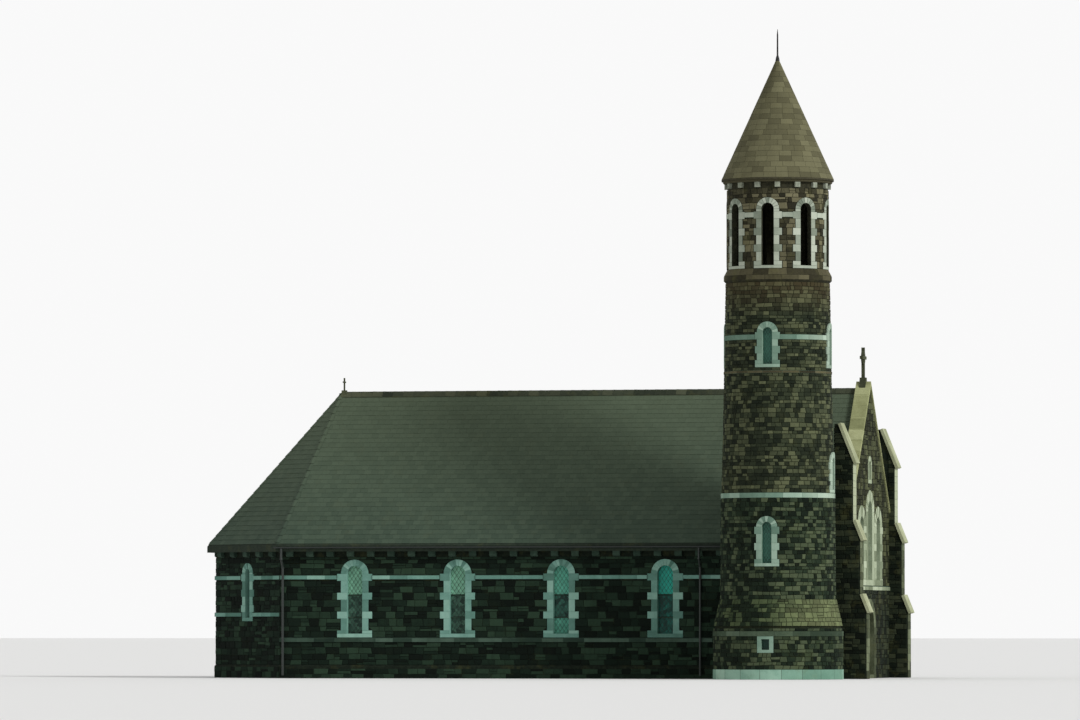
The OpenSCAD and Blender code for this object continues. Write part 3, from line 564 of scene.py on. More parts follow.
STONES = (
    # Darker than the stone itself, as painted shade: the side walls are seen in shade.
    StoneFinish("nave rubble", (9, 16, 11), (21, 35, 26), (43, 62, 47), streak=0.3, spread=0.12,
                growth=(38, 50, 28)),
    # Its paler growth towards the sunlit side is partly lichen, partly painted sunlight.
    StoneFinish("tower rubble", (13, 21, 14), (36, 49, 35), (80, 90, 66), streak=0.3, spread=0.3,
                growth=(62, 72, 38), growth_axis=SUNLIT_TOWER_SIDE, growth_rise=(10.5, 13.5)),
    # Its pale growth on the sunlit side is partly moss, partly painted sunlight.
    StoneFinish("batter rubble", (15, 24, 15), (36, 49, 33), (80, 92, 62), streak=0.2, spread=0.85,
                growth=(150, 158, 112), growth_axis=SUNLIT_TOWER_SIDE, growth_rise=(12.5, 15.4), growth_cover=0.6),
    StoneFinish("upper rubble", (24, 30, 21), (50, 57, 41), (90, 95, 69), streak=0.3, spread=0.2,
                growth=(76, 78, 46), cap_z=15.7, cap=(84, 70, 46), cap_fade=1.0, cap_share=0.6),
    StoneFinish("belfry rubble", (38, 37, 27), (76, 74, 55), (114, 110, 85), spread=0.2),
    StoneFinish("ledge blocks", (46, 44, 31), (70, 67, 49), (92, 88, 66), mottle=0.6, spread=0.2),
    StoneFinish("cone blocks", (82, 80, 59), (96, 94, 70), (108, 106, 80), mottle=0.6, mottle_scale=1.6,
                speckle=0.3, streak=0.3, spread=0.1, growth=(104, 98, 62)),
    # Lighter than the nave's rubble, as painted sunlight on the lit front.
    StoneFinish("gable rubble", (26, 29, 17), (47, 51, 32), (82, 87, 60), spread=0.2),
    # Dark partly from lichen, partly as painted shade on the piers' shaded sides.
    StoneFinish("pier rubble", (12, 18, 11), (24, 33, 22), (54, 60, 43), spread=0.2),
    # Darker and more teal than the tower's and the front's dressings, as painted shade on the shaded side walls.
    dressed("nave dressings", (78, 114, 102), (106, 148, 135), (136, 174, 159), spread=0.1,
            growth=(80, 104, 70)),
    dressed("string blocks", (30, 44, 36), (50, 68, 57), (76, 96, 83), streak=0.35, growth=(60, 76, 50)),
    # Its near-white growth on the sunlit side is painted sunlight, not lichen.
    dressed("tower dressings", (90, 116, 101), (120, 147, 130), (148, 171, 154), spread=0.9,
            growth=(196, 208, 188), growth_axis=SUNLIT_TOWER_SIDE, growth_rise=(13.4, 14.6), growth_cover=0.8),
    dressed("belfry dressings", (108, 117, 103), (150, 159, 143), (178, 185, 169), spread=0.1),
    dressed("front dressings", (104, 114, 90), (146, 157, 130), (180, 190, 164), streak=0.35, spread=0.12,
            growth=(108, 112, 70)),
    dressed("coping slabs", (117, 121, 84), (156, 160, 116), (180, 184, 141), speckle=0.5, streak=0.35,
            spread=0.3),
    StoneFinish("pier fronts", (50, 56, 39), (84, 92, 69), (120, 128, 101), spread=0.25,
                cap_z=6.0, cap=(178, 186, 156), cap_fade=0.3, cap_share=0.8),
    # Pale as a painted highlight: its seen, shaded sides are given the colour of sunlit tops.
    StoneFinish("pier weathering", (124, 129, 100), (164, 169, 136), (190, 195, 164), spread=0.2),
    StoneFinish("cross stone", (46, 50, 38), (68, 72, 54), (92, 96, 74)),
    StoneFinish("slates", (58, 72, 60), (63, 77, 64), (68, 82, 68), mottle=0.4, mottle_scale=0.5, speckle=0.2,
                streak=0.15, spread=0.2, growth=(76, 82, 62), grain_scale=40.0, grain_depth=0.003, rough=0.8,
                cap_z=9.2, cap=(92, 102, 80), cap_fade=3.3, cap_share=0.55),
    StoneFinish("ridge tiles", (40, 46, 36), (58, 64, 50), (78, 82, 64), mottle=0.5, spread=0.2),
)

MORTARS = tuple(StoneFinish(*colours, mottle=mottle, laid=False) for mottle, *colours in (
    # The nave's mortar is darkened with its rubble, as painted shade.
    (1.2, "nave mortar", (12, 18, 13), (24, 32, 24), (40, 48, 37)),
    (1.2, "tower mortar", (18, 24, 16), (34, 41, 28), (54, 58, 42)),
    (1.2, "belfry mortar", (26, 26, 19), (46, 46, 34), (66, 64, 48)),
    (1.2, "gable mortar", (20, 22, 13), (36, 39, 25), (56, 60, 40)),
    # Dark as painted shade inside the belfry's openings.
    (1.2, "arch reveals", (28, 29, 22), (48, 49, 38), (70, 71, 56)),
    (1.0, "cone joints", (46, 44, 34), (62, 60, 46), (80, 77, 60)),
    (1.0, "floor stone", (92, 90, 78), (126, 122, 106), (150, 146, 128)),
    (1.0, "roof boards", (32, 40, 33), (44, 53, 44), (56, 64, 54)),
))

FINISHES = {finish.name: finish for finish in (
    *STONES, *(stone.bed() for stone in STONES), *MORTARS,
    StoneFinish("band bed", (44, 57, 44), (66, 81, 64), (90, 106, 88), mottle=0.7, mottle_scale=2.0,
                laid=False, cap_z=2.5, cap=(112, 138, 121), ring_count=22),
    dressed("base course", (98, 134, 116), (132, 168, 149), (162, 194, 175), laid=False, ring_count=19),
    StoneFinish("eaves and corbels", (98, 104, 90), (138, 144, 128), (166, 170, 154), mottle=1.2, laid=False,
                cap_z=20.15, cap=(72, 69, 51)),
    StoneFinish("door frame wood", (30, 22, 15), (44, 32, 22), (58, 43, 30), mottle=1.0, mottle_scale=6.0,
                laid=False, spread=0.0),
    StoneFinish("door boards", (38, 27, 18), (58, 42, 28), (78, 58, 40), mottle=0.5, mottle_scale=6.0,
                streak=0.8, spread=0.0, grain_depth=0.003, rough=0.7),
    PlainFinish("painted iron", (26, 34, 30), 0.5),
    PlainFinish("wrought iron", (28, 28, 27), 0.55, 0.6),
    PlainFinish("lead", (40, 52, 48), 0.6, 0.4),
    GlassFinish("nave glass", (44, 168, 148), (130, 188, 158), (10, 38, 31), 0.16),
    GlassFinish("apse glass", (34, 66, 54), (34, 66, 54), (10, 26, 20), 0.16),
    GlassFinish("tower glass", (64, 112, 96), (64, 112, 96), (24, 56, 46), 0.14),
)}


@dataclass(frozen=True)
class PlaneFace:
    """A flat face, on which u runs to the right as seen from outside, v runs up and w outwards."""

    origin: Vector
    along: Vector
    up: Vector = UP

    def place(self, u: float, v: float, w: float) -> Vector:
        """Point in the chapel's frame for a place on the face."""
        return self.origin + self.along * u + self.up * v + self.along.cross(self.up) * w

    def steps(self, width: float) -> int:
        """Facets that a stretch of the face needs."""
        return 1


@dataclass(frozen=True)
class RoundFace:
    """An upright round face, on which u is the arc at the mean radius and v the height."""

    axis: Flat
    low_r: float
    high_r: float
    low_z: float
    high_z: float
    facet: float = 0.30

    @property
    def mean_r(self) -> float:
        """Radius at which u is measured."""
        return (self.low_r + self.high_r) / 2

    @property
    def girth(self) -> float:
        """Length of u once round."""
        return TURN * self.mean_r

    def radius(self, v: float) -> float:
        """Radius of the face at a height."""
        share = (v - self.low_z) / (self.high_z - self.low_z)
        return self.low_r + (self.high_r - self.low_r) * share

    def at(self, degrees: float) -> float:
        """Place along u of a compass angle, with 0 at the front and -90 at the tower's outer side."""
        return math.radians(degrees) * self.mean_r

    def place(self, u: float, v: float, w: float) -> Vector:
        """Point in the chapel's frame for a place on the face.

        Args:
            u: Arc at the mean radius.
            v: Height.
            w: Distance out of the face.

        Returns:
            The point.
        """
        angle = u / self.mean_r
        reach = self.radius(v) + w
        return Vector((self.axis[0] + reach * math.cos(angle), self.axis[1] + reach * math.sin(angle), v))

    def steps(self, width: float) -> int:
        """Facets that a stretch of the face needs."""
        return max(1, math.ceil(width / self.facet))


Face = PlaneFace | RoundFace


@dataclass(frozen=True)
class Opening:
    """A round-headed opening or surround, with long blocks beside its jambs."""

    middle: float
    width: float
    sill: float
    spring: float
    levels: Heights = ()
    block_out: float = 0.0
    block_h: float = 0.29
    square: bool = False

    @property
    def top(self) -> float:
        """Height of the crown."""
        return self.spring if self.square else self.spring + self.width / 2

    def half(self, v: float) -> float:
        """Half width at a height, 0 where the opening isn't there.

        Args:
            v: Height.

        Returns:
            Half the width, with the long blocks.
        """
        if not self.sill <= v < self.top:
            return 0.0
        if v > self.spring:
            return math.sqrt(max(0.0, (self.width / 2) ** 2 - (v - self.spring) ** 2))
        long_block = any(level <= v < level + self.block_h for level in self.levels)
        return self.width / 2 + (self.block_out if long_block else 0.0)

    def stops(self) -> list[float]:
        """Heights at which the outline changes."""
        return [self.sill, self.spring, self.top, *self.levels, *(v + self.block_h for v in self.levels)]


@dataclass
class Field:
    """Part of a face to be covered in stones, with the openings left out."""

    low: float
    high: float
    edges: Callable[[float], Span]
    openings: Sequence["Opening | DrumShadow"] = ()
    gap: float = 0.012
    least_course: float = 0.05

    def spans(self, v: float) -> list[Span]:
        """Free stretches at a height.

        Args:
            v: Height.

        Returns:
            The stretches, from left to right.
        """
        blocked = []
        for opening in self.openings:
            half = opening.half(v)
            if half:
                blocked.append((opening.middle - half - self.gap, opening.middle + half + self.gap))
        left, right = self.edges(v)
        spans = []
        for start, end in (*sorted(blocked), (right, right)):
            if start > left:
                spans.append((left, min(start, right)))
            left = max(left, end)
        return [span for span in spans if span[1] - span[0] > SLIVER]

    def stops(self) -> list[float]:
        """Heights that a bed joint has to meet.

        Returns:
            The heights, from low to high.
        """
        found = {self.low, self.high}
        for opening in self.openings:
            found.update(v for v in opening.stops()
                         if self.low + self.least_course < v < self.high - self.least_course)
        kept: list[float] = []
        for v in sorted(found):
            if not kept or v - kept[-1] > self.least_course:
                kept.append(v)
        kept[-1] = self.high
        return kept


@dataclass
class Stone:
    """Outline of one stone on its face, as matching points along its lower and upper edges."""

    lower: Outline
    upper: Outline
    low_w: float = 0.0
    high_w: float = 0.0


@dataclass
class Mason:
    """Divides fields into courses and stones."""

    seed: int
    course: float
    length: Span
    joint: float = 0.018
    wave: float = 0.02
    split_share: float = 0.22
    split_h: float = 0.17
    split_at: Span = (0.38, 0.62)
    lean: float = 0.03
    unevenness: Span = (0.72, 1.28)
    closer_share: float = 0.55
    least_joints: float = 3.0
    least_width: float = 0.03
    waves: tuple[Flat, Flat] = ((2.3, 40), (1.1, 9))
    nudge: float = 0.004
    reach: float = 1.2
    rng: random.Random = field(init=False)

    def __post_init__(self) -> None:
        """Start the random draws."""
        self.rng = random.Random(self.seed)

    def courses(self, stops: Sequence[float]) -> list[tuple[float, float, bool, bool]]:
        """Heights of the courses between the stops.

        Args:
            stops: Heights that a bed joint has to meet.

        Returns:
            Low and high edge of each course, and whether each edge may wander.
        """
        rows = []
        for low, high in zip(stops, stops[1:]):
            count = max(1, round((high - low) / self.course))
            shares = [self.rng.uniform(*self.unevenness) for _ in range(count)]
            total, at = sum(shares), low
            for k, share in enumerate(shares):
                top = high if k == count - 1 else at + (high - low) * share / total
                rows.append((at, top, k > 0, k < count - 1))
                at = top
        return rows

    def drift(self, u: float, v: float, free: bool) -> float:
        """Wander of a bed joint from its height, as two waves along it that shift from course to course."""
        first, second = (along * u + shift * v for along, shift in self.waves)
        return self.wave * math.sin(first) * math.cos(second) if free else 0.0

    def cuts(self, left: float, right: float) -> list[float]:
        """Places of the upright joints in a stretch.

        Args:
            left: Left end.
            right: Right end.

        Returns:
            The joints, with both ends.
        """
        places, at = [left], left
        while True:
            at += self.rng.uniform(*self.length)
            if at > right - self.closer_share * self.length[0]:
                break
            places.append(at)
        return places + [right]

    def row(self, area: Field, low: float, high: float, low_free: bool, high_free: bool) -> list[Stone]:
        """Lay one course.

        Args:
            area: Field that the course lies in.
            low: Height of the lower bed.
            high: Height of the upper bed.
            low_free: Whether the lower bed wanders.
            high_free: Whether the upper bed wanders.

        Returns:
            The stones.
        """
        nudge = min(self.nudge, (high - low) / 4)
        heights = (low + nudge, (low + high) / 2, high - nudge)
        levels = [area.spans(v) for v in heights]
        stones: list[Stone] = []
        for left, right in levels[1]:
            centre = (left + right) / 2
            ends = []
            for spans in (levels[0], levels[2]):
                found = [s for s in spans if s[0] < centre < s[1]]
                ends.append(found[0] if found else None)
            if None in ends:
                continue
            limit = self.reach * (high - low)
            lower = (max(ends[0][0], left - limit), min(ends[0][1], right + limit))
            upper = (max(ends[1][0], left - limit), min(ends[1][1], right + limit))
            if min(lower[1] - lower[0], upper[1] - upper[0]) < self.least_width:
                continue
            stones += self.fill(lower, upper, (low, high), (low_free, high_free))
        return stones

    def fill(self, lower: Span, upper: Span, beds: Span, free: tuple[bool, bool]) -> list[Stone]:
        """Divide one stretch of a course into stones.

        Args:
            lower: Ends of the stretch at its lower bed.
            upper: Ends of the stretch at its upper bed.
            beds: Heights of the two beds.
            free: Whether each bed wanders.

        Returns:
            The stones.
        """
        cuts = self.cuts(max(lower[0], upper[0]), min(lower[1], upper[1]))
        last = len(cuts) - 1
        joints = []
        for k, cut in enumerate(cuts):
            if k in (0, last):
                side = 0 if k == 0 else 1
                joints.append((lower[side], upper[side]))
            else:
                leans = [self.rng.uniform(-self.lean, self.lean) for _ in beds]
                joints.append((cut + leans[0], cut + leans[1]))
        stones = []
        half, least = self.joint / 2, self.least_joints * self.joint
        for (a_low, a_high), (b_low, b_high) in zip(joints, joints[1:]):
            low = [beds[0] + self.drift(u, beds[0], free[0]) + half for u in (a_low, b_low)]
            high = [beds[1] + self.drift(u, beds[1], free[1]) - half for u in (a_high, b_high)]
            corners = ([(a_low + half, low[0]), (b_low - half, low[1])],
                       [(a_high + half, high[0]), (b_high - half, high[1])])
            if min(b_low - a_low, b_high - a_high) < least or min(high) - max(low) < least:
                continue
            if min(high) - max(low) > self.split_h and self.rng.random() < self.split_share:
                stones += self.split(*corners)
            else:
                stones.append(Stone(*corners))
        return stones

    def split(self, lower: Outline, upper: Outline) -> list[Stone]:
        """Divide a tall stone into two thin ones.

        Args:
            lower: Its lower edge.
            upper: Its upper edge.

        Returns:
            The lower and the upper stone.
        """
        share = self.rng.uniform(*self.split_at)
        half = self.joint / 2
        middle = [(a[0] + (b[0] - a[0]) * share, a[1] + (b[1] - a[1]) * share) for a, b in zip(lower, upper)]
        return [Stone(lower, [(u, v - half) for u, v in middle]),
                Stone([(u, v + half) for u, v in middle], upper)]

    def lay(self, area: Field) -> list[Stone]:
        """Cover a field with coursed stones.

        Args:
            area: The field.

        Returns:
            The stones.
        """
        stones: list[Stone] = []
        for low, high, low_free, high_free in self.courses(area.stops()):
            stones += self.row(area, low, high, low_free, high_free)
        return stones

    def band(self, area: Field) -> list[Stone]:
        """Fill a field with one level course."""
        return self.row(area, area.low, area.high, False, False)


@dataclass
class Bed:
    """Outlines of stones gathered on their faces, ready for the laying tree."""

    points: list[Vector] = field(default_factory=list)
    faces: list[tuple[int, ...]] = field(default_factory=list)
    stones: list[int] = field(default_factory=list)
    count: int = 0

    def strip(self, lower: Sequence[Vector], upper: Sequence[Vector], outward: Vector | None = None) -> None:
        """Add one stone as a strip of quads between two edges.

        Args:
            lower: Points along its lower edge, from left to right.
            upper: Matching points along its upper edge.
            outward: Direction that its face has to look in, where the edges don't settle it.
        """
        if outward is not None and (lower[1] - lower[0]).cross(upper[0] - lower[0]).dot(outward) < 0:
            lower, upper = upper, lower
        start = len(self.points)
        self.points += [*lower, *upper]
        size = len(lower)
        for k in range(size - 1):
            self.faces.append((start + k, start + k + 1, start + size + k + 1, start + size + k))
            self.stones.append(self.count)
        self.count += 1

    def add(self, face: Face, stones: Iterable[Stone], out: float = 0.0, sink: float = 0.010) -> None:
        """Put stones on a face.

        Args:
            face: The face.
            stones: The stones.
            out: Distance that the bed stands out of the face.
            sink: Depth that they are let into the bed.
        """
        for stone in stones:
            edges = []
            wide = max(stone.lower[-1][0] - stone.lower[0][0], stone.upper[-1][0] - stone.upper[0][0])
            steps = face.steps(wide)
            for points, w in ((stone.lower, stone.low_w), (stone.upper, stone.high_w)):
                if len(points) == 2:
                    (u0, v0), (u1, v1) = points
                    points = [(u0 + (u1 - u0) * k / steps, v0 + (v1 - v0) * k / steps)
                              for k in range(steps + 1)]
                edges.append([face.place(u, v, w + out - sink) for u, v in points])
            self.strip(*edges)


class LayingTree:
    """Geometry tree that raises every outline into a closed stone of its own height."""

    def __init__(self, weld: float = 0.0002) -> None:
        """Build the tree.

        Args:
            weld: Distance within which points become one.
        """
        group = NodeGroup("laid_stones", "Geometry", (
            ("Outlines", "Geometry", None), *((name, "Float", 0.01) for name in WORK_INPUTS),
            ("Seed", "Int", 1), ("Material", "Material", None)), (("Stones", "Geometry"),))
        value = group.value
        number = group.node("GeometryNodeInputNamedAttribute", {"Name": "stone"}, data_type="INT")
        height = self.draw(group, number, value("Least"), value("Most"), value("Seed"))
        tone = self.draw(group, number, 0.0, 1.0, reckon(group.tree, "ADD", value("Seed"), 1.0))
        skewed = reckon(group.tree, "POWER", tone, value("Skew"))
        toned = group.node("GeometryNodeStoreNamedAttribute", {
            "Geometry": value("Outlines"), "Name": "tone", "Value": skewed}, data_type="FLOAT", domain="FACE")
        body = group.node("GeometryNodeExtrudeMesh", {
            "Mesh": toned.outputs[0], "Offset Scale": height, "Individual": False})
        edge = group.node("GeometryNodeExtrudeMesh", {
            "Mesh": body.outputs["Mesh"], "Selection": body.outputs["Top"],
            "Offset Scale": value("Arris"), "Individual": False})
        worn = group.node("GeometryNodeScaleElements", {
            "Geometry": edge.outputs["Mesh"], "Selection": edge.outputs["Top"], "Scale": value("Face")})
        back = group.node("GeometryNodeFlipFaces", {"Mesh": toned.outputs[0]})
        joined = group.node("GeometryNodeJoinGeometry")
        group.tree.links.new(back.outputs[0], joined.inputs[0])
        group.tree.links.new(worn.outputs[0], joined.inputs[0])
        closed = group.node("GeometryNodeMergeByDistance", {"Geometry": joined.outputs[0], "Distance": weld})
        self.tree = group.dress("Stones", closed.outputs[0])

    def draw(self, group: NodeGroup, number: Node, low: object, high: object, seed: Socket) -> Socket:
        """Draw a value between low and high for each stone."""
        return group.node("FunctionNodeRandomValue", {
            2: low, 3: high, "ID": number.outputs["Attribute"], "Seed": seed}, data_type="FLOAT").outputs[1]


class BarTree:
    """Geometry tree that sweeps a small round or flat bar along every edge."""

    def __init__(self) -> None:
        """Build the tree."""
        group = NodeGroup("swept_bars", "Geometry", (
            ("Lines", "Geometry", None), ("Radius", "Float", 0.01), ("Sides", "Int", 6),
            ("Material", "Material", None)), (("Bars", "Geometry"),))
        line = group.node("GeometryNodeMeshToCurve", {"Mesh": group.value("Lines")})
        profile = group.node("GeometryNodeCurvePrimitiveCircle", {
            "Resolution": group.value("Sides"), "Radius": group.value("Radius")})
        swept = group.node("GeometryNodeCurveToMesh", {
            "Curve": line.outputs[0], "Profile Curve": profile.outputs["Curve"], "Fill Caps": True})
        self.tree = group.dress("Bars", swept.outputs[0])


class StudTree:
    """Geometry tree that sets a round-headed stud on every point."""

    def __init__(self) -> None:
        """Build the tree."""
        group = NodeGroup("round_studs", "Geometry", (
            ("Points", "Geometry", None), ("Radius", "Float", 0.02), ("Material", "Material", None)),
            (("Studs", "Geometry"),))
        ball = group.node("GeometryNodeMeshIcoSphere", {"Radius": group.value("Radius"), "Subdivisions": 1})
        heads = group.node("GeometryNodeInstanceOnPoints", {
            "Points": group.value("Points"), "Instance": ball.outputs[0]})
        self.tree = group.dress("Studs", heads.outputs[0])


@dataclass
class Workshop:
    """Turns outlines, lines and points into finished pieces on the chapel."""

    palette: Palette
    laying: LayingTree = field(default_factory=LayingTree)
    bars: BarTree = field(default_factory=BarTree)
    studs: StudTree = field(default_factory=StudTree)
    made: int = 0

    def source(self, name: str, points: Sequence[Vector], edges: Sequence[tuple[int, int]],
               faces: Sequence[tuple[int, ...]]) -> Piece:
        """Make an object of raw geometry.

        Args:
            name: Name of the object.
            points: Its points.
            edges: Its loose edges.
            faces: Its faces.

        Returns:
            The object.
        """
        mesh = bpy.data.meshes.new(name)
        mesh.from_pydata([tuple(p) for p in points], list(edges), list(faces))
        made = bpy.data.objects.new(name, mesh)
        bpy.context.scene.collection.objects.link(made)
        return made

    def run(self, made: Piece, tree: Tree, values: dict[str, object], finish: str, slot: Slot) -> None:
        """Run a geometry tree on an object, keep its result as a plain mesh, and fasten it to the chapel.

        Args:
            made: The object.
            tree: The tree.
            values: Values for the tree's named inputs.
            finish: Name of the finish.
            slot: Material slot; not used.
        """
        modifier = made.modifiers.new(tree.name, "NODES")
        modifier.node_group = tree
        values["Material"] = self.palette[finish]
        for item in tree.interface.items_tree:
            if item.item_type == "SOCKET" and item.in_out == "INPUT" and item.name in values:
                modifier[item.identifier] = values[item.name]
        depsgraph = bpy.context.evaluated_depsgraph_get()
        result = bpy.data.meshes.new_from_object(made.evaluated_get(depsgraph))
        made.modifiers.remove(modifier)
        spare = made.data
        made.data = result
        result.name = made.name
        bpy.data.meshes.remove(spare)
        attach(made, BODY)
        result.calc_loop_triangles()
        self.made += len(result.loop_triangles)
        log.info("%s: %d triangles", made.name, len(result.loop_triangles))

    def lay(self, name: str, bed: Bed, finish: str, slot: Slot, work: Work, seed: int) -> None:
        """Raise the outlines of a bed into stones.

        Args:
            name: Name of the piece.
            bed: The outlines.
            finish: Name of the finish.
            slot: Material slot.
            work: How the stones are worked.
            seed: Seed of the random heights and tones.
        """
        made = self.source(name, bed.points, (), bed.faces)
        ids = made.data.attributes.new("stone", "INT", "FACE")
        ids.data.foreach_set("value", bed.stones)
        self.run(made, self.laying.tree, {**dict(zip(WORK_INPUTS, work.value)), "Seed": seed}, finish, slot)

    def sweep(self, name: str, lines: Sequence[Line], radius: float, finish: str, slot: Slot,
              sides: int = 4) -> None:
        """Sweep a bar along each line.

        Args:
            name: Name of the piece.
            lines: The lines, each a list of points.
            radius: Radius of the bar.
            finish: Name of the finish.
            slot: Material slot.
            sides: Sides of the bar.
        """
        points: list[Vector] = []
        edges: list[tuple[int, int]] = []
        for line in lines:
            start = len(points)
            points += line
            edges += [(start + k, start + k + 1) for k in range(len(line) - 1)]
        made = self.source(name, points, edges, ())
        self.run(made, self.bars.tree, {"Radius": radius, "Sides": sides}, finish, slot)

    def lead(self, name: str, lines: Sequence[Line]) -> None:
        """Fit lead lines to windows."""
        self.sweep(name, lines, LEAD_R, "lead", Slot.GLASS)

    def stud(self, name: str, points: Sequence[Vector], radius: float, finish: str, slot: Slot) -> None:
        """Set a stud of a radius on each point."""
        self.run(self.source(name, points, (), ()), self.studs.tree, {"Radius": radius}, finish, slot)


def mason_for_blocks(seed: int, course: float, length: Span) -> Mason:
    """Mason who lays fine blocks with thin level joints."""
    return Mason(seed, course, length, joint=FINE_JOINT, wave=0.0, split_share=0.0, lean=0.0)


def ring_blocks(surround: Opening, light: Opening, least_h: float = 0.05,
                arch_block: float = 0.5) -> list[Stone]:
    """Divide a window's or door's dressed surround into its blocks.

    Args:
        surround: Outline of the surround.
        light: Outline of the opening in it.
        least_h: Least height of a block.
        arch_block: Usual length of an arch stone along its outer edge.

    Returns:
        The blocks.
    """
    gap = FINE_JOINT / 2
    stones = []
    edges = {surround.sill, surround.spring}
    edges.update(v for v in surround.stops() + [light.sill] if surround.sill < v < surround.spring)
    beds = sorted(edges)
    for low, high in zip(beds, beds[1:]):
        if high - low < least_h:
            continue
        middle = (low + high) / 2
        outer = surround.half(middle) - gap
        inner = light.half(middle) + gap if middle > light.sill else 0.0
        sides = ((-outer, -inner), (inner, outer)) if inner > gap else ((-outer, outer),)
        for left, right in sides:
            lower = [(surround.middle + left, low + gap), (surround.middle + right, low + gap)]
            stones.append(Stone(lower, [(u, high - gap) for u, _ in lower]))
    count = 2 * round(surround.width * math.pi / 2 / arch_block) + 3
    inner_r, outer_r = light.width / 2 + gap, surround.width / 2 - gap
    for k in range(count):
        start = math.pi * (1 - k / count) - gap / inner_r
        end = math.pi * (1 - (k + 1) / count) + gap / inner_r
        turns = (start, (start + end) / 2, end)
        arcs = [[(surround.middle + r * math.cos(t), surround.spring + r * math.sin(t)) for t in turns]
                for r in (inner_r, outer_r)]
        stones.append(Stone(*arcs))
    return stones


def lattice(face: Face, light: Opening, pitch: float, step: float = 0.02) -> list[Line]:
    """Lead lines of diamond panes inside a light.

    Args:
        face: Face that the light is cut in.
        light: Outline of the light.
        pitch: Distance between lines along a level.
        step: Step up a line at which its ends are sought.

    Returns:
        The lines, in the chapel's frame.
    """
    lines = []
    height = light.top - light.sill
    count = math.ceil((light.width + height / LEAD_RISE) / pitch)
    for lean in (-1, 1):
        for k in range(count + 1):
            inside: list[Flat] = []
            v = light.sill + step / 2
            while v < light.top:
                u = lean * ((v - light.sill) / LEAD_RISE - light.width / 2 - height / LEAD_RISE + k * pitch)
                if abs(u) < light.half(v):
                    inside.append((u, v))
                v += step
            if len(inside) > 2:
                lines.append([face.place(light.middle + u, v, -LEVELS.glass_in)
                              for u, v in (inside[0], inside[-1])])
    return lines


def fit_window(face: Face, surround: Opening, light: Opening, blocks: Bed, leads: list[Line],
               pitch: float = 0.17) -> None:
    """Lay the blocks round a window and lead its light."""
    blocks.add(face, ring_blocks(surround, light), LEVELS.dressing_out)
    leads.extend(lattice(face, light, pitch))


@dataclass(frozen=True)
class DrumShadow:
    """Stretch of a flat face that the round tower stands against."""

    middle: float
    away: float
    stages: tuple[RoundFace, ...]

    def half(self, v: float) -> float:
        """Half width of the stretch at a height.

        Args:
            v: Height.

        Returns:
            Half the width, 0 above the stages.
        """
        for stage in self.stages:
            if stage.low_z <= v < stage.high_z:
                return math.sqrt(max(0.0, stage.radius(v) ** 2 - self.away ** 2))
        return 0.0

    def stops(self) -> list[float]:
        """Heights at which the stretch changes."""
        return [stage.low_z for stage in self.stages]


@dataclass(frozen=True)
class Levels:
    """Heights that several parts of the chapel share."""

    plinth: float = 0.55
    plinth_rubble: Span = (0.0, 0.47)
    plinth_out: float = 0.05
    string: Span = (4.10, 4.26)
    sill_string: Span = (1.50, 1.66)
    apse_sill: Span = (2.56, 2.72)
    front_sill: Span = (3.65, 3.81)
    string_top: float = 0.03
    string_out: float = 0.06
    dressing_out: float = 0.03
    glass_in: float = 0.185

    def zones(self, sill: Span) -> list[Span]:
        """Heights of a side wall's rubble, between its plinth, its strings and its corbels.

        Args:
            sill: Lower and upper edge of the string at the windows' sills.

        Returns:
            The heights.
        """
        stops = (self.plinth, *sill, *self.string, low_corner("near_corbel_table").z)
        return [(low + (self.string_top if k else 0.0), high)
                for k, (low, high) in enumerate(zip(stops[::2], stops[1::2]))]


LEVELS = Levels()


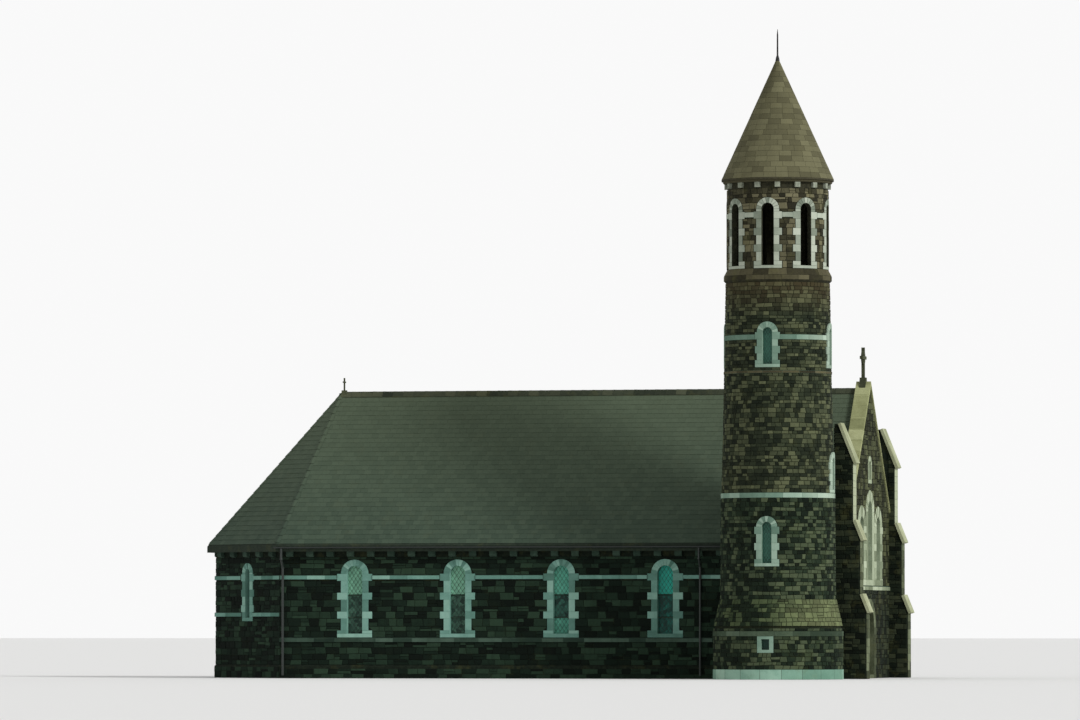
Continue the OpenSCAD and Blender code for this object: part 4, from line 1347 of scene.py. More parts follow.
@dataclass
class Nave:
    """The two long walls with their strings, windows, plinth and cornice."""

    shop: Workshop
    tower: DrumShadow
    windows: tuple[float, ...] = (4.4, 0.0, -4.4, -8.8)
    far_extra: float = 8.8
    light_w: float = 0.65
    surround_w: float = 1.18
    sill: float = 1.85
    surround_sill: float = 1.69
    spring: float = 4.33
    levels: Heights = spaced(4, 1.69, 4.04)
    block_out: float = 0.16
    transoms: Heights = (2.52, 3.45)
    transom_out: float = 0.02
    transom_r: float = 0.028

    def __post_init__(self) -> None:
        """Read the walls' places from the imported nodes."""
        self.near_y = low_corner("near_wall").y
        self.far_y = high_corner("far_wall").y
        self.left = low_corner("near_wall").x
        self.right = high_corner("near_roof_slope").x

    def face(self, near: bool) -> PlaneFace:
        """Outer face of the wall on the tower's side, or of the other wall."""
        y, way = (self.near_y, 1) if near else (self.far_y, -1)
        return PlaneFace(Vector((0, y, 0)), Vector((way, 0, 0)))

    def openings(self, near: bool) -> list[Opening]:
        """Surrounds of one wall's windows.

        Args:
            near: Whether it is the tower's side.

        Returns:
            The surrounds.
        """
        places = self.windows if near else [-x for x in (*self.windows, self.far_extra)]
        return [Opening(x, self.surround_w, self.surround_sill, self.spring, self.levels, self.block_out)
                for x in places]

    def build(self) -> None:
        """Lay the stones of both walls and lead their windows."""
        for near in (True, False):
            self.lay_wall(near)

    def lay_wall(self, near: bool) -> None:
        """Lay one wall's rubble, dressed blocks, strings and plinth, and lead its windows.

        Args:
            near: Whether it is the tower's side.
        """
        side = "near" if near else "far"
        face, surrounds = self.face(near), self.openings(near)
        ends = (self.left, self.right) if near else (-self.right, -self.left)
        shadow = [self.tower] if near else []
        taken = [*surrounds, *shadow]
        mason = Mason(seed=11 if near else 12, course=0.23, length=(0.24, 0.62))
        fine = mason_for_blocks(seed=31, course=0.2, length=(0.7, 1.15))
        rubble, blocks, strings, plinth = Bed(), Bed(), Bed(), Bed()
        for low, high in LEVELS.zones(LEVELS.sill_string):
            rubble.add(face, mason.lay(Field(low, high, lambda v: ends, taken)))
        for bed, (low, high) in ((strings, LEVELS.sill_string), (blocks, LEVELS.string)):
            bed.add(face, fine.band(Field(low, high, lambda v: ends, taken)), LEVELS.string_out)
        leads: list[Line] = []
        bars: list[Line] = []
        for surround in surrounds:
            light = Opening(surround.middle, self.light_w, self.sill, self.spring)
            fit_window(face, surround, light, blocks, leads)
            bars += [[face.place(light.middle + turn * light.half(v), v, self.transom_out - LEVELS.glass_in)
                      for turn in (-1, 1)] for v in self.transoms]
        area = Field(*LEVELS.plinth_rubble, lambda v: ends, shadow)
        plinth.add(face, Mason(seed=13, course=0.22, length=(0.3, 0.7)).lay(area), LEVELS.plinth_out)
        self.shop.lay(f"{side}_wall_rubble", rubble, "nave rubble", Slot.NAVE, Work.RUBBLE, seed=21)
        self.shop.lay(f"{side}_wall_dressings", blocks, "nave dressings", Slot.DRESSED, Work.ASHLAR, seed=22)
        self.shop.lay(f"{side}_sill_string", strings, "string blocks", Slot.DRESSED, Work.ASHLAR, seed=27)
        self.shop.lead(f"{side}_window_leads", leads)
        self.shop.sweep(f"{side}_window_bars", bars, self.transom_r, "string blocks bed", Slot.DRESSED)
        self.shop.lay(f"{side}_plinth_rubble", plinth, "nave rubble", Slot.NAVE, Work.RUBBLE, seed=23)


@dataclass
class Apse:
    """The three canted walls that close the nave."""

    shop: Workshop
    light_w: float = 0.32
    surround_w: float = 0.80
    sill: float = 2.52
    surround_sill: float = 2.37
    spring: float = 4.40
    levels: Heights = spaced(3, 2.75, 4.04)
    block_out: float = 0.08
    end_half: float = 1.6

    def __post_init__(self) -> None:
        """Read the walls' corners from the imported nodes."""
        end_x = low_corner("apse_end_wall").x
        nave_x = low_corner("near_wall").x
        half = -low_corner("near_wall").y
        self.corners = [(nave_x, half), (end_x, self.end_half), (end_x, -self.end_half), (nave_x, -half)]

    def sides(self) -> list[tuple[PlaneFace, float]]:
        """Face and half length of each wall, with u = 0 at its middle.

        Returns:
            The walls, from the far side to the near side.
        """
        found = []
        for (x0, y0), (x1, y1) in zip(self.corners, self.corners[1:]):
            run = Vector((x1 - x0, y1 - y0, 0))
            middle = Vector(((x0 + x1) / 2, (y0 + y1) / 2, 0))
            found.append((PlaneFace(middle, run.normalized()), run.length / 2))
        return found

    def build(self) -> None:
        """Lay the stones and lead the windows."""
        rubble, blocks, plinth = Bed(), Bed(), Bed()
        leads: list[Line] = []
        mason = Mason(seed=14, course=0.23, length=(0.22, 0.58))
        fine = mason_for_blocks(seed=32, course=0.2, length=(0.6, 1.0))
        surround = Opening(0.0, self.surround_w, self.surround_sill, self.spring, self.levels, self.block_out)
        light = Opening(0.0, self.light_w, self.sill, self.spring)
        for face, half in self.sides():
            ends = (-half, half)
            for low, high in LEVELS.zones(LEVELS.apse_sill):
                rubble.add(face, mason.lay(Field(low, high, lambda v: ends, [surround])))
            for low, high in (LEVELS.apse_sill, LEVELS.string):
                blocks.add(face, fine.band(Field(low, high, lambda v: ends, [surround])), LEVELS.string_out)
            fit_window(face, surround, light, blocks, leads)
            plinth.add(face, mason.lay(Field(*LEVELS.plinth_rubble, lambda v: ends)), LEVELS.plinth_out)
        self.shop.lay("apse_rubble", rubble, "nave rubble", Slot.NAVE, Work.RUBBLE, seed=24)
        self.shop.lay("apse_dressings", blocks, "nave dressings", Slot.DRESSED, Work.ASHLAR, seed=25)
        self.shop.lay("apse_plinth_rubble", plinth, "nave rubble", Slot.NAVE, Work.RUBBLE, seed=26)
        self.shop.lead("apse_window_leads", leads)


@dataclass
class Front:
    """The gabled front with its triple window, small light, doorway, coping and piers."""

    shop: Workshop
    pier_in: float = 4.26
    pier_out: float = 4.94
    slope: float = 1.2349
    rake_z: float = 12.145
    rake_in: float = 0.03
    rubble_below_rake: float = 0.25
    coping_t: float = 0.18
    coping_x: Span = (11.46, 12.08)
    slab_gap: float = 0.006
    slab_foot: float = 0.03
    slab_sink: float = 0.004
    block_out: float = 0.16
    door: Opening = Opening(0.0, 2.4, 0.0, 2.1, spaced(3, 0.55, 1.81), block_out)
    door_light: Opening = Opening(0.0, 1.7, 0.0, 2.1)
    foot: float = 3.84
    sill: float = 4.08
    middle: Opening = Opening(0.0, 1.8, foot, 6.9)
    middle_light: Opening = Opening(0.0, 0.9, sill, 6.9)
    side_at: float = 1.8
    side_w: float = 1.7
    side_light_w: float = 0.8
    side_spring: float = 6.3
    side_levels: Heights = spaced(4, foot, 6.01)
    small: Opening = Opening(0.0, 0.76, 8.08, 8.85)
    small_light: Opening = Opening(0.0, 0.34, 8.24, 8.85)
    pier_stages: tuple[Direction, ...] = ((12.82, 0.0, 2.8), (12.56, 3.44, 5.75), (12.27, 6.47, 8.9))
    pier_tip: Flat = (11.65, 10.43)
    pier_arris: float = 0.04
    pier_top_in: float = 0.15
    pier_meets_gable: float = 0.55
    pier_meets_roof: float = 6.2
    under_weathering: float = 0.1

    def __post_init__(self) -> None:
        """Read the front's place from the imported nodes."""
        self.x = high_corner("front_gable_wall").x
        self.back_x = low_corner("near_pier").x
        self.face = PlaneFace(Vector((self.x, 0, 0)), Vector((0, 1, 0)))

    def pairs(self) -> list[tuple[Opening, Opening]]:
        """Each surround of the front with its light.

        Returns:
            The pairs, the door first.
        """
        sides = [(Opening(s * self.side_at, self.side_w, self.foot, self.side_spring, self.side_levels,
                          self.block_out),
                  Opening(s * self.side_at, self.side_light_w, self.sill, self.side_spring)) for s in (-1, 1)]
        return [(self.door, self.door_light), (self.middle, self.middle_light), *sides,
                (self.small, self.small_light)]

    def edges(self, v: float) -> Span:
        """Ends of the gable wall's face at a height."""
        half = min(self.pier_in, (self.rake_z - v) / self.slope - self.rake_in)
        return -half, half

    def build(self) -> None:
        """Lay the front's stones, its coping and its piers, and lead its windows."""
        blocks = Bed()
        mason = Mason(seed=15, course=0.22, length=(0.2, 0.5))
        pairs = self.pairs()
        surrounds = [surround for surround, _ in pairs]
        for name, finish, low, high in (
                ("door_wall_rubble", "pier rubble", 0.0, LEVELS.front_sill[0]),
                ("gable_rubble", "gable rubble", LEVELS.front_sill[1] + LEVELS.string_top,
                 self.rake_z - self.rubble_below_rake)):
            bed = Bed()
            bed.add(self.face, mason.lay(Field(low, high, self.edges, surrounds)))
            self.shop.lay(name, bed, finish, Slot.GABLE, Work.RUBBLE, seed=41)
        fine = mason_for_blocks(seed=33, course=0.2, length=(0.7, 1.1))
        blocks.add(self.face, fine.band(Field(*LEVELS.front_sill, lambda v: (-self.pier_in, self.pier_in))),
                   LEVELS.string_out)
        leads: list[Line] = []
        for surround, light in pairs[1:]:
            fit_window(self.face, surround, light, blocks, leads)
        self.shop.lay("front_dressings", blocks, "front dressings", Slot.DRESSED, Work.ASHLAR, seed=42)
        doorway = Bed()
        doorway.add(self.face, ring_blocks(self.door, self.door_light), LEVELS.dressing_out)
        self.shop.lay("door_dressings", doorway, "pier fronts", Slot.DRESSED, Work.ASHLAR, seed=46)
        self.shop.lead("front_window_leads", leads)
        self.lay_coping()
        self.lay_piers()

    def lay_coping(self, length: float = 0.62) -> None:
        """Lay the slabs that cap the gable.

        Args:
            length: Length of one slab along the slope.
        """
        bed = Bed()
        rise = Vector((0, 1, -self.slope)).normalized()
        reach = self.pier_in / rise.y
        count = round(reach / length)
        for side in (-1, 1):
            along = Vector((0, side * rise.y, rise.z))
            out = Vector((0, side * -rise.z, rise.y))
            for k in range(count):
                edges = []
                for share in (k / count + self.slab_gap, (k + 1) / count - self.slab_gap):
                    start = Vector((0, 0, self.rake_z)) + along * (reach * share)
                    base = start + out * self.slab_foot
                    top = start + out * (self.coping_t * rise.y - self.slab_sink)
                    front, back = self.coping_x[1] - self.slab_gap, self.coping_x[0] + self.slab_gap
                    edges.append([Vector((x, p.y, p.z)) for x, p in
                                  ((front, base), (front, top), (back, top), (back, base))])
                bed.strip(*edges, outward=Vector((1, 0, 0)))
        self.shop.lay("coping_slabs", bed, "coping slabs", Slot.DRESSED, Work.ASHLAR, seed=43)

    def profile(self, v: float) -> float:
        """Front of a pier at a height, on its stages and the slopes between them.

        Args:
            v: Height.

        Returns:
            Its place along X.
        """
        points = []
        for x, low, high in self.pier_stages:
            points += [(x, low), (x, high)]
        points.append(self.pier_tip)
        for (x0, z0), (x1, z1) in zip(points, points[1:]):
            if z0 <= v <= z1:
                return x0 + (x1 - x0) * (v - z0) / (z1 - z0)
        return self.back_x

    def lay_piers(self) -> None:
        """Lay the piers: rubble on their sides and backs, dressed blocks on their fronts."""
        for side, name in ((-1, "near"), (1, "far")):
            rubble, blocks = Bed(), Bed()
            mason = Mason(seed=16 + side, course=0.2, length=(0.2, 0.46))
            fine = mason_for_blocks(seed=34 + side, course=0.34, length=(0.3, 0.68))
            outer = PlaneFace(Vector((0, side * self.pier_out, 0)), Vector((-side, 0, 0)))
            inner = PlaneFace(Vector((0, side * self.pier_in, 0)), Vector((side, 0, 0)))
            top = self.pier_tip[1] - self.pier_top_in
            for face, back in ((outer, self.back_x), (inner, self.x)):
                sign = face.along.x

                def edges(v: float, back: float = back, sign: float = sign) -> Span:
                    """Ends of a pier's side at a height."""
                    span = (back * sign, (self.profile(v) - self.pier_arris) * sign)
                    return min(span), max(span)

                high = top if back == self.back_x else top - self.pier_meets_gable
                rubble.add(face, mason.lay(Field(0.0, high, edges)))
            back = PlaneFace(Vector((self.back_x, 0, 0)), Vector((0, -1, 0)))
            left, right = sorted((side * self.pier_in, side * self.pier_out))
            rubble.add(back, mason.lay(Field(self.pier_meets_roof, top, lambda v: (-right, -left))))
            for x, low, high in self.pier_stages:
                face = PlaneFace(Vector((x, 0, 0)), Vector((0, 1, 0)))
                blocks.add(face, fine.lay(Field(low, high - self.under_weathering, lambda v: (left, right))))
            self.shop.lay(f"{name}_pier_rubble", rubble, "pier rubble", Slot.PIER, Work.RUBBLE, seed=44)
            self.shop.lay(f"{name}_pier_blocks", blocks, "pier fronts", Slot.DRESSED, Work.ASHLAR, seed=45)


@dataclass(frozen=True)
class Slope:
    """One slope of the roof, from its eaves to the ridge or peak, as corners seen from outside."""

    start: Vector
    end: Vector
    top_start: Vector
    top_end: Vector

    @property
    def face(self) -> PlaneFace:
        """Face of the slope, with v measured up it from the eaves.

        Returns:
            The face.
        """
        along = (self.end - self.start).normalized()
        climb = self.top_start - self.start
        up = (climb - along * climb.dot(along)).normalized()
        return PlaneFace(self.start, along, up)

    @property
    def length(self) -> float:
        """Distance up the slope from the eaves to the top."""
        return (self.top_start - self.start).dot(self.face.up)

    @property
    def out(self) -> Vector:
        """Direction square to the slope."""
        return self.face.along.cross(self.face.up)

    def edges(self, v: float) -> Span:
        """Ends of the slope at a distance up it.

        Args:
            v: Distance up the slope.

        Returns:
            The ends.
        """
        along, share = self.face.along, v / self.length
        left = (self.top_start - self.start).dot(along) * share
        right = (self.end - self.start).length
        return left, right + ((self.top_end - self.start).dot(along) - right) * share


@dataclass
class Roof:
    """The slated slopes with their ridge and hip tiles."""

    shop: Workshop
    tower: DrumShadow
    tower_y: float
    slate_w: float = 0.30
    exposed: float = 0.25
    roof_v: float = 0.254
    end_half: float = 1.6
    eaves_in: float = 0.08
    slate_gap: float = 0.004
    slate_tilt: Span = (0.012, 0.001)
    least_slate: Span = (0.03, 0.004)
    ridge_lift: float = 0.012
    ridge_gap: float = 0.0004
    ridge_folds: tuple[float, ...] = (-1, -0.3, 0, 0.3, 1)
    hip_lift: Span = (0.026, 0.014)
    hip_gap: float = 0.05
    hip_foot: float = 1.2
    hip_fold: float = 0.7

    def __post_init__(self) -> None:
        """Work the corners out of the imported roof."""
        low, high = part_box("near_roof_slope")
        far = high_corner("far_roof_slope")
        apse_low, apse_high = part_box("apse_roof")
        eaves_z = low.z + self.roof_v
        peak_x = apse_high.x
        scale = (peak_x - apse_low.x) / (peak_x - low_corner("apse_end_wall").x)
        self.peak = Vector((peak_x, 0, high.z))
        self.ridge_end = Vector((high.x, 0, high.z))
        end_y = self.end_half * scale
        eaves = [(low.x, far.y), (apse_low.x, end_y), (apse_low.x, -end_y), (low.x, low.y)]
        self.eaves = [Vector((x, y, eaves_z)) for x, y in eaves]
        self.front = [Vector((high.x, y, eaves_z)) for y in (far.y, low.y)]

    def slopes(self) -> dict[str, Slope]:
        """Slopes by name, round the roof from the tower's side.

        Returns:
            The slopes.
        """
        far, far_end, near_end, near = self.eaves
        return {
            "near": Slope(near, self.front[1], self.peak, self.ridge_end),
            "apse_near": Slope(near_end, near, self.peak, self.peak),
            "apse_end": Slope(far_end, near_end, self.peak, self.peak),
            "apse_far": Slope(far, far_end, self.peak, self.peak),
            "far": Slope(self.front[0], far, self.ridge_end, self.peak)}

    def slates(self, slope: Slope, near: bool) -> list[Stone]:
        """Slates of one slope, each tilted over the next lower course.

        Args:
            slope: The slope.
            near: Whether the tower stands against it.

        Returns:
            The slates.
        """
        stones = []
        rows = math.ceil((slope.length - self.eaves_in) / self.exposed)
        fall = slope.face.up.y
        for row in range(rows):
            low = self.eaves_in + row * self.exposed
            high = min(low + self.exposed, slope.length)
            ends = slope.edges(low), slope.edges(high)
            blocked = 0.0
            if near:
                away = abs(slope.start.y + fall * (low + high) / 2 - self.tower_y)
                radius = self.tower.stages[-1].low_r
                blocked = math.sqrt(max(0.0, radius ** 2 - away ** 2))
            middle = self.tower.middle - slope.start.x
            first = math.floor(min(ends[0][0], ends[1][0]) / self.slate_w)
            last = math.ceil(max(ends[0][1], ends[1][1]) / self.slate_w)
            for k in range(first - 1, last + 1):
                left = (k + 0.5 * (row % 2)) * self.slate_w + self.slate_gap / 2
                right = left + self.slate_w - self.slate_gap
                if blocked and middle - blocked < (left + right) / 2 < middle + blocked:
                    continue
                lower = (max(left, ends[0][0]), min(right, ends[0][1]))
                upper = (max(left, ends[1][0]), min(right, ends[1][1]))
                if lower[1] - lower[0] < self.least_slate[0] or upper[1] - upper[0] < self.least_slate[1]:
                    continue
                stones.append(Stone([(u, low) for u in lower], [(u, high) for u in upper], *self.slate_tilt))
        return stones

    def build(self) -> None:
        """Slate the slopes and tile the ridge and hips."""
        slopes = self.slopes()
        for name, parts in (("near_slates", ("near",)), ("far_slates", ("far",)),
                            ("apse_slates", ("apse_near", "apse_end", "apse_far"))):
            bed = Bed()
            for part in parts:
                bed.add(slopes[part].face, self.slates(slopes[part], part == "near"), sink=0.0)
            self.shop.lay(name, bed, "slates", Slot.SLATE, Work.SLATE, seed=51)
        self.tile_ridge()
        self.tile_hips(list(slopes.values()))

    def tile_ridge(self, length: float = 0.45) -> None:
        """Lay the angled tiles along the ridge.

        Args:
            length: Length of a tile.
        """
        low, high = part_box("ridge_tiles")
        bed = Bed()
        count = round((high.x - low.x) / length)
        half = (high.y - low.y) / 2
        rise = half * ((self.peak.z - self.eaves[0].z) / self.eaves[0].y)
        for k in range(count):
            sections = []
            for share, lift in ((k / count, self.ridge_lift), ((k + 1) / count - self.ridge_gap, 0.0)):
                x = low.x + (high.x - low.x) * share
                sections.append([Vector((x, fold * half, high.z - abs(fold) * rise + lift - self.ridge_lift))
                                 for fold in self.ridge_folds])
            bed.strip(*sections, outward=UP)
        self.shop.lay("ridge_line", bed, "ridge tiles", Slot.RIDGE, Work.SLATE, seed=52)

    def tile_hips(self, slopes: Sequence[Slope], half: float = 0.11, length: float = 0.4) -> None:
        """Lay the narrow tiles along the four hips.

        Args:
            slopes: The roof's slopes, in order round the building.
            half: Half width of a tile.
            length: Length of a tile.
        """
        bed = Bed()
        for right, left in zip(slopes, slopes[1:]):
            climb = (self.peak - right.start).normalized()
            foot = right.start + climb * (self.hip_foot * half)
            line = self.peak - foot
            wings = []
            for one, other in ((left, right), (right, left)):
                wing = climb.cross(one.out).normalized()
                wings.append(wing if wing.dot(other.out) < 0 else -wing)
            count = round(line.length / length)
            for k in range(count):
                sections = []
                for share, lift in zip(((k + self.hip_gap) / count, (k + 1) / count), self.hip_lift):
                    base = foot + line * share
                    sections.append([base + wings[0] * half + left.out * lift,
                                     base + (left.out + right.out) * lift * self.hip_fold,
                                     base + wings[1] * half + right.out * lift])
                bed.strip(*sections, outward=left.out + right.out)
        self.shop.lay("hip_tiles", bed, "slates", Slot.SLATE, Work.SLATE, seed=53)


@dataclass
class Tower:
    """The round tower with its base, batter, stages, bands, windows, belfry and stone cone."""

    shop: Workshop
    drum_r: float = 2.62
    batter: Span = (2.60, 2.35)
    lower: Span = (2.33, 2.30)
    middle: Span = (2.28, 2.16)
    upper: Span = (2.16, 2.10)
    ledge_r: float = 2.19
    belfry_r: float = 2.05
    cone: Span = (2.29, 0.07)
    base_z: float = 0.40
    drum_band: Span = (1.75, 1.95)
    groove: Span = (2.07, 2.15)
    batter_top: float = 3.24
    lower_top: float = 7.35
    middle_top: float = 12.40
    upper_top: float = 16.10
    ledge: Span = (16.19, 16.38)
    belfry: Span = (16.65, 20.16)
    belfry_rubble_top: float = 19.90
    cone_foot: float = 20.32
    cone_top: float = 25.2
    bands: tuple[Span, ...] = ((7.35, 7.55), (12.40, 12.50), (13.76, 13.96))
    impost: Span = (18.72, 18.92)
    band_out: float = 0.04
    slit_w: float = 0.40
    slit_surround: float = 0.86
    slit_block_out: float = 0.08
    slit_head: float = 0.29
    stool_h: float = 0.13
    vent: tuple[float, float, float] = (0.67, 1.08, 1.75)
    low_slit: Span = (4.70, 6.17)
    mid_slit: Span = (7.70, 8.80)
    high_slit: Span = (12.76, 14.05)
    pane_pitch: float = 0.13
    arch_w: float = 0.50
    arch_surround: float = 0.95
    arch_spring: float = 19.05
    arch_sill: float = 16.77
    arch_levels: Heights = spaced(4, 16.65, 18.66)
    arch_block_out: float = 0.11
    cone_facet: float = 0.14
    cone_joint: float = 0.004
    upper_band_in: float = 0.02
    roof_meets: float = 6.0
    wall_turn: int = 90
    outer_turn: int = 270
    front_turn: int = TURN_DEGREES

    def __post_init__(self) -> None:
        """Read the tower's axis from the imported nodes."""
        axis_x, axis_y, self.foot_r = tower_plan()
        self.axis = (axis_x, axis_y)
        self.away = low_corner("near_wall").y - self.axis[1]
        self.fine = mason_for_blocks(seed=61, course=0.25, length=(0.5, 0.85))
        self.stages = (
            self.stage((self.foot_r, self.foot_r), 0.0, self.base_z),
            self.stage((self.drum_r, self.drum_r), self.base_z, self.drum_band[1]),
            self.stage((self.batter[0], self.batter[0]), self.drum_band[1], self.groove[1]),
            self.stage(self.batter, self.groove[1], self.batter_top),
            self.stage(self.lower, self.batter_top, self.lower_top))

    def stage(self, radii: Span, low: float, high: float, out: float = 0.0) -> RoundFace:
        """Round face of a stage between two heights."""
        return RoundFace(self.axis, radii[0] + out, radii[1] + out, low, high)

    def turns(self, count: int) -> range:
        """Compass angles of evenly spaced openings, with the one in the nave's wall at both ends."""
        return range(self.wall_turn, self.wall_turn + TURN_DEGREES + 1, TURN_DEGREES // count)

    def shadow(self) -> DrumShadow:
        """Stretch of the nave's wall that the tower hides."""
        return DrumShadow(self.axis[0], self.away, self.stages)

    def ring(self, face: RoundFace, v: float) -> Span:
        """Ends of a course round the tower, left open where it stands in the nave's wall.

        Args:
            face: Face of the stage.
            v: Height of the course.

        Returns:
            The ends.
        """
        radius = face.radius(v)
        buried = v < self.roof_meets and radius > self.away
        half = math.acos(self.away / radius) * face.mean_r if buried else 0.0
        return face.at(self.wall_turn) + half, face.at(self.wall_turn + TURN_DEGREES) - half

    def slits(self, face: RoundFace, turns: Iterable[int], sill: float,
              spring: float) -> list[tuple[Opening, Opening]]:
        """Surround and light of each narrow window of a stage.

        Args:
            face: Face of the stage.
            turns: Compass angles of the windows.
            sill: Height of the lights' sills.
            spring: Height of the lights' springing.

        Returns:
            The pairs.
        """
        foot = sill - self.stool_h
        levels = spaced(3, foot, spring - self.slit_head)
        return [(Opening(face.at(turn), self.slit_surround, foot, spring, levels, self.slit_block_out),
                 Opening(face.at(turn), self.slit_w, sill, spring)) for turn in turns]

    def build(self) -> None:
        """Lay the tower from its foot to its cone."""
        blocks, worn = Bed(), Bed()
        leads: list[Line] = []
        _, drum, foot, batter, lower = self.stages
        middle = self.stage(self.middle, self.lower_top, self.middle_top)
        upper = self.stage(self.upper, self.middle_top, self.upper_top)
        belfry = self.stage((self.belfry_r, self.belfry_r), *self.belfry)
        vent = Opening(drum.at(self.outer_turn), *self.vent, square=True)
        low_slits = self.slits(lower, (self.outer_turn,), *self.low_slit)
        mid_slits = self.slits(middle, (self.front_turn,), *self.mid_slit)
        high_slits = self.slits(upper, self.turns(4), *self.high_slit)
        low_taken, mid_taken, high_taken = (
            [surround for surround, _ in pairs] for pairs in (low_slits, mid_slits, high_slits))
        self.rubble("tower_drum_rubble", drum, ((self.base_z, self.drum_band[0]),), [vent])
        self.rubble("tower_foot_rubble", foot, ((foot.low_z, self.groove[0]),), [])
        self.rubble("tower_batter_rubble", batter, ((batter.low_z, batter.high_z),), [], "batter rubble")
        self.rubble("tower_lower_rubble", lower, ((self.batter_top, self.lower_top),), low_taken)
        first, second, third = self.bands
        self.rubble("tower_middle_rubble", middle, ((first[1], self.middle_top),), mid_taken, "upper rubble")
        self.rubble("tower_upper_rubble", upper, ((second[1], third[0]), (third[1], self.upper_top)),
                    high_taken, "upper rubble")
        self.band(blocks, middle, first, self.middle[0] + self.band_out, mid_taken)
        self.band(worn, upper, second, self.upper[0] + self.band_out, [])
        self.band(blocks, upper, third, self.upper[0] + self.band_out - self.upper_band_in, high_taken)
        self.band(worn, belfry, self.ledge, self.ledge_r, [])
        slope = RoundFace(self.axis, self.ledge_r, self.belfry_r, self.ledge[1], self.belfry[0])
        worn.add(slope, self.fine.band(Field(slope.low_z, slope.high_z, partial(self.ring, slope))))
        for face, pairs in ((lower, low_slits), (middle, mid_slits), (upper, high_slits[1:])):
            upright = self.stage((face.low_r, face.low_r), face.low_z, face.high_z)
            for pair in pairs:
                surround, light = self.moved(pair, face, upright)
                fit_window(upright, surround, light, blocks, leads, self.pane_pitch)
        self.shop.lay("tower_dressings", blocks, "tower dressings", Slot.DRESSED, Work.ASHLAR, seed=62)
        self.shop.lay("tower_ledge", worn, "ledge blocks", Slot.BELFRY, Work.ASHLAR, seed=70)
        self.shop.lead("tower_window_leads", leads)
        self.lay_belfry(belfry)
        self.lay_cone()

    def moved(self, openings: Iterable[Opening], face: RoundFace, other: RoundFace) -> list[Opening]:
        """Openings of a face, at the same compass angles on another face."""
        return [replace(opening, middle=opening.middle / face.mean_r * other.mean_r) for opening in openings]

    def rubble(self, name: str, face: RoundFace, zones: Sequence[Span], openings: Sequence[Opening],
               finish: str = "tower rubble") -> None:
        """Cover a stage with rubble.

        Args:
            name: Name of the piece.
            face: Face of the stage.
            zones: Heights to cover.
            openings: Surrounds to leave out.
            finish: Name of the finish.
        """
        mason, bed = Mason(seed=63, course=0.17, length=(0.14, 0.36), split_share=0.1), Bed()
        for low, high in zones:
            bed.add(face, mason.lay(Field(low, high, partial(self.ring, face), openings)))
        self.shop.lay(name, bed, finish, Slot.TOWER, Work.RUBBLE, seed=64)

    def band(self, bed: Bed, face: RoundFace, beds: Span, radius: float, openings: Sequence[Opening]) -> None:
        """Lay the blocks of a band round the tower.

        Args:
            bed: Bed that gathers the blocks.
            face: Face of the stage that it belongs to.
            beds: Lower and upper edge.
            radius: Radius of the band's face.
            openings: Surrounds that interrupt it.
        """
        ring = RoundFace(self.axis, radius, radius, *beds)
        area = Field(*beds, partial(self.ring, ring), self.moved(openings, face, ring))
        bed.add(ring, self.fine.band(area))

    def lay_belfry(self, face: RoundFace) -> None:
        """Lay the belfry: rubble between the arches, arch stones and imposts.

        Args:
            face: Face of the belfry's wall.
        """
        surrounds = [Opening(face.at(turn), self.arch_surround, self.belfry[0], self.arch_spring,
                             self.arch_levels, self.arch_block_out)
                     for turn in self.turns(8)]
        mason, bed, blocks = Mason(seed=65, course=0.2, length=(0.14, 0.34)), Bed(), Bed()
        stretches = ((self.belfry[0] + SLIVER, self.impost[0]), (self.impost[1], self.belfry_rubble_top))
        for low, high in stretches:
            bed.add(face, mason.lay(Field(low, high, partial(self.ring, face), surrounds)))
        self.shop.lay("belfry_rubble", bed, "belfry rubble", Slot.BELFRY, Work.RUBBLE, seed=66)
        for surround in surrounds[:-1]:
            light = Opening(surround.middle, self.arch_w, self.arch_sill, self.arch_spring)
            blocks.add(face, ring_blocks(surround, light), LEVELS.dressing_out)
        self.band(blocks, face, self.impost, self.belfry_r + self.band_out, surrounds)
        self.shop.lay("belfry_dressings", blocks, "belfry dressings", Slot.DRESSED, Work.ASHLAR, seed=67)

    def lay_cone(self, course: float = 0.22, length: float = 0.5, least: int = 5, seed: int = 68) -> None:
        """Lay the courses of the stone cone.

        Args:
            course: Height of a course.
            length: Length of a block.
            least: Least number of blocks in a course.
            seed: Seed of the turn of each course.
        """
        face = RoundFace(self.axis, *self.cone, self.cone_foot, self.cone_top, self.cone_facet)
        bed = Bed()
        rows = round((self.cone_top - self.cone_foot) / course)
        draw = random.Random(seed)
        for row in range(rows):
            low, high = (self.cone_foot + (self.cone_top - self.cone_foot) * k / rows for k in (row, row + 1))
            radius = face.radius((low + high) / 2)
            count = max(least, round(TURN * radius / length))
            turn, joint = draw.random(), self.cone_joint * face.mean_r / radius
            beds = (low + self.cone_joint, high - self.cone_joint)
            for k in range(count):
                ends = ((k + turn) / count * face.girth + joint, (k + 1 + turn) / count * face.girth - joint)
                bed.add(face, [Stone(*([(u, v) for u in ends] for v in beds))])
        self.shop.lay("cone_blocks", bed, "cone blocks", Slot.CONE, Work.ASHLAR, seed=69)


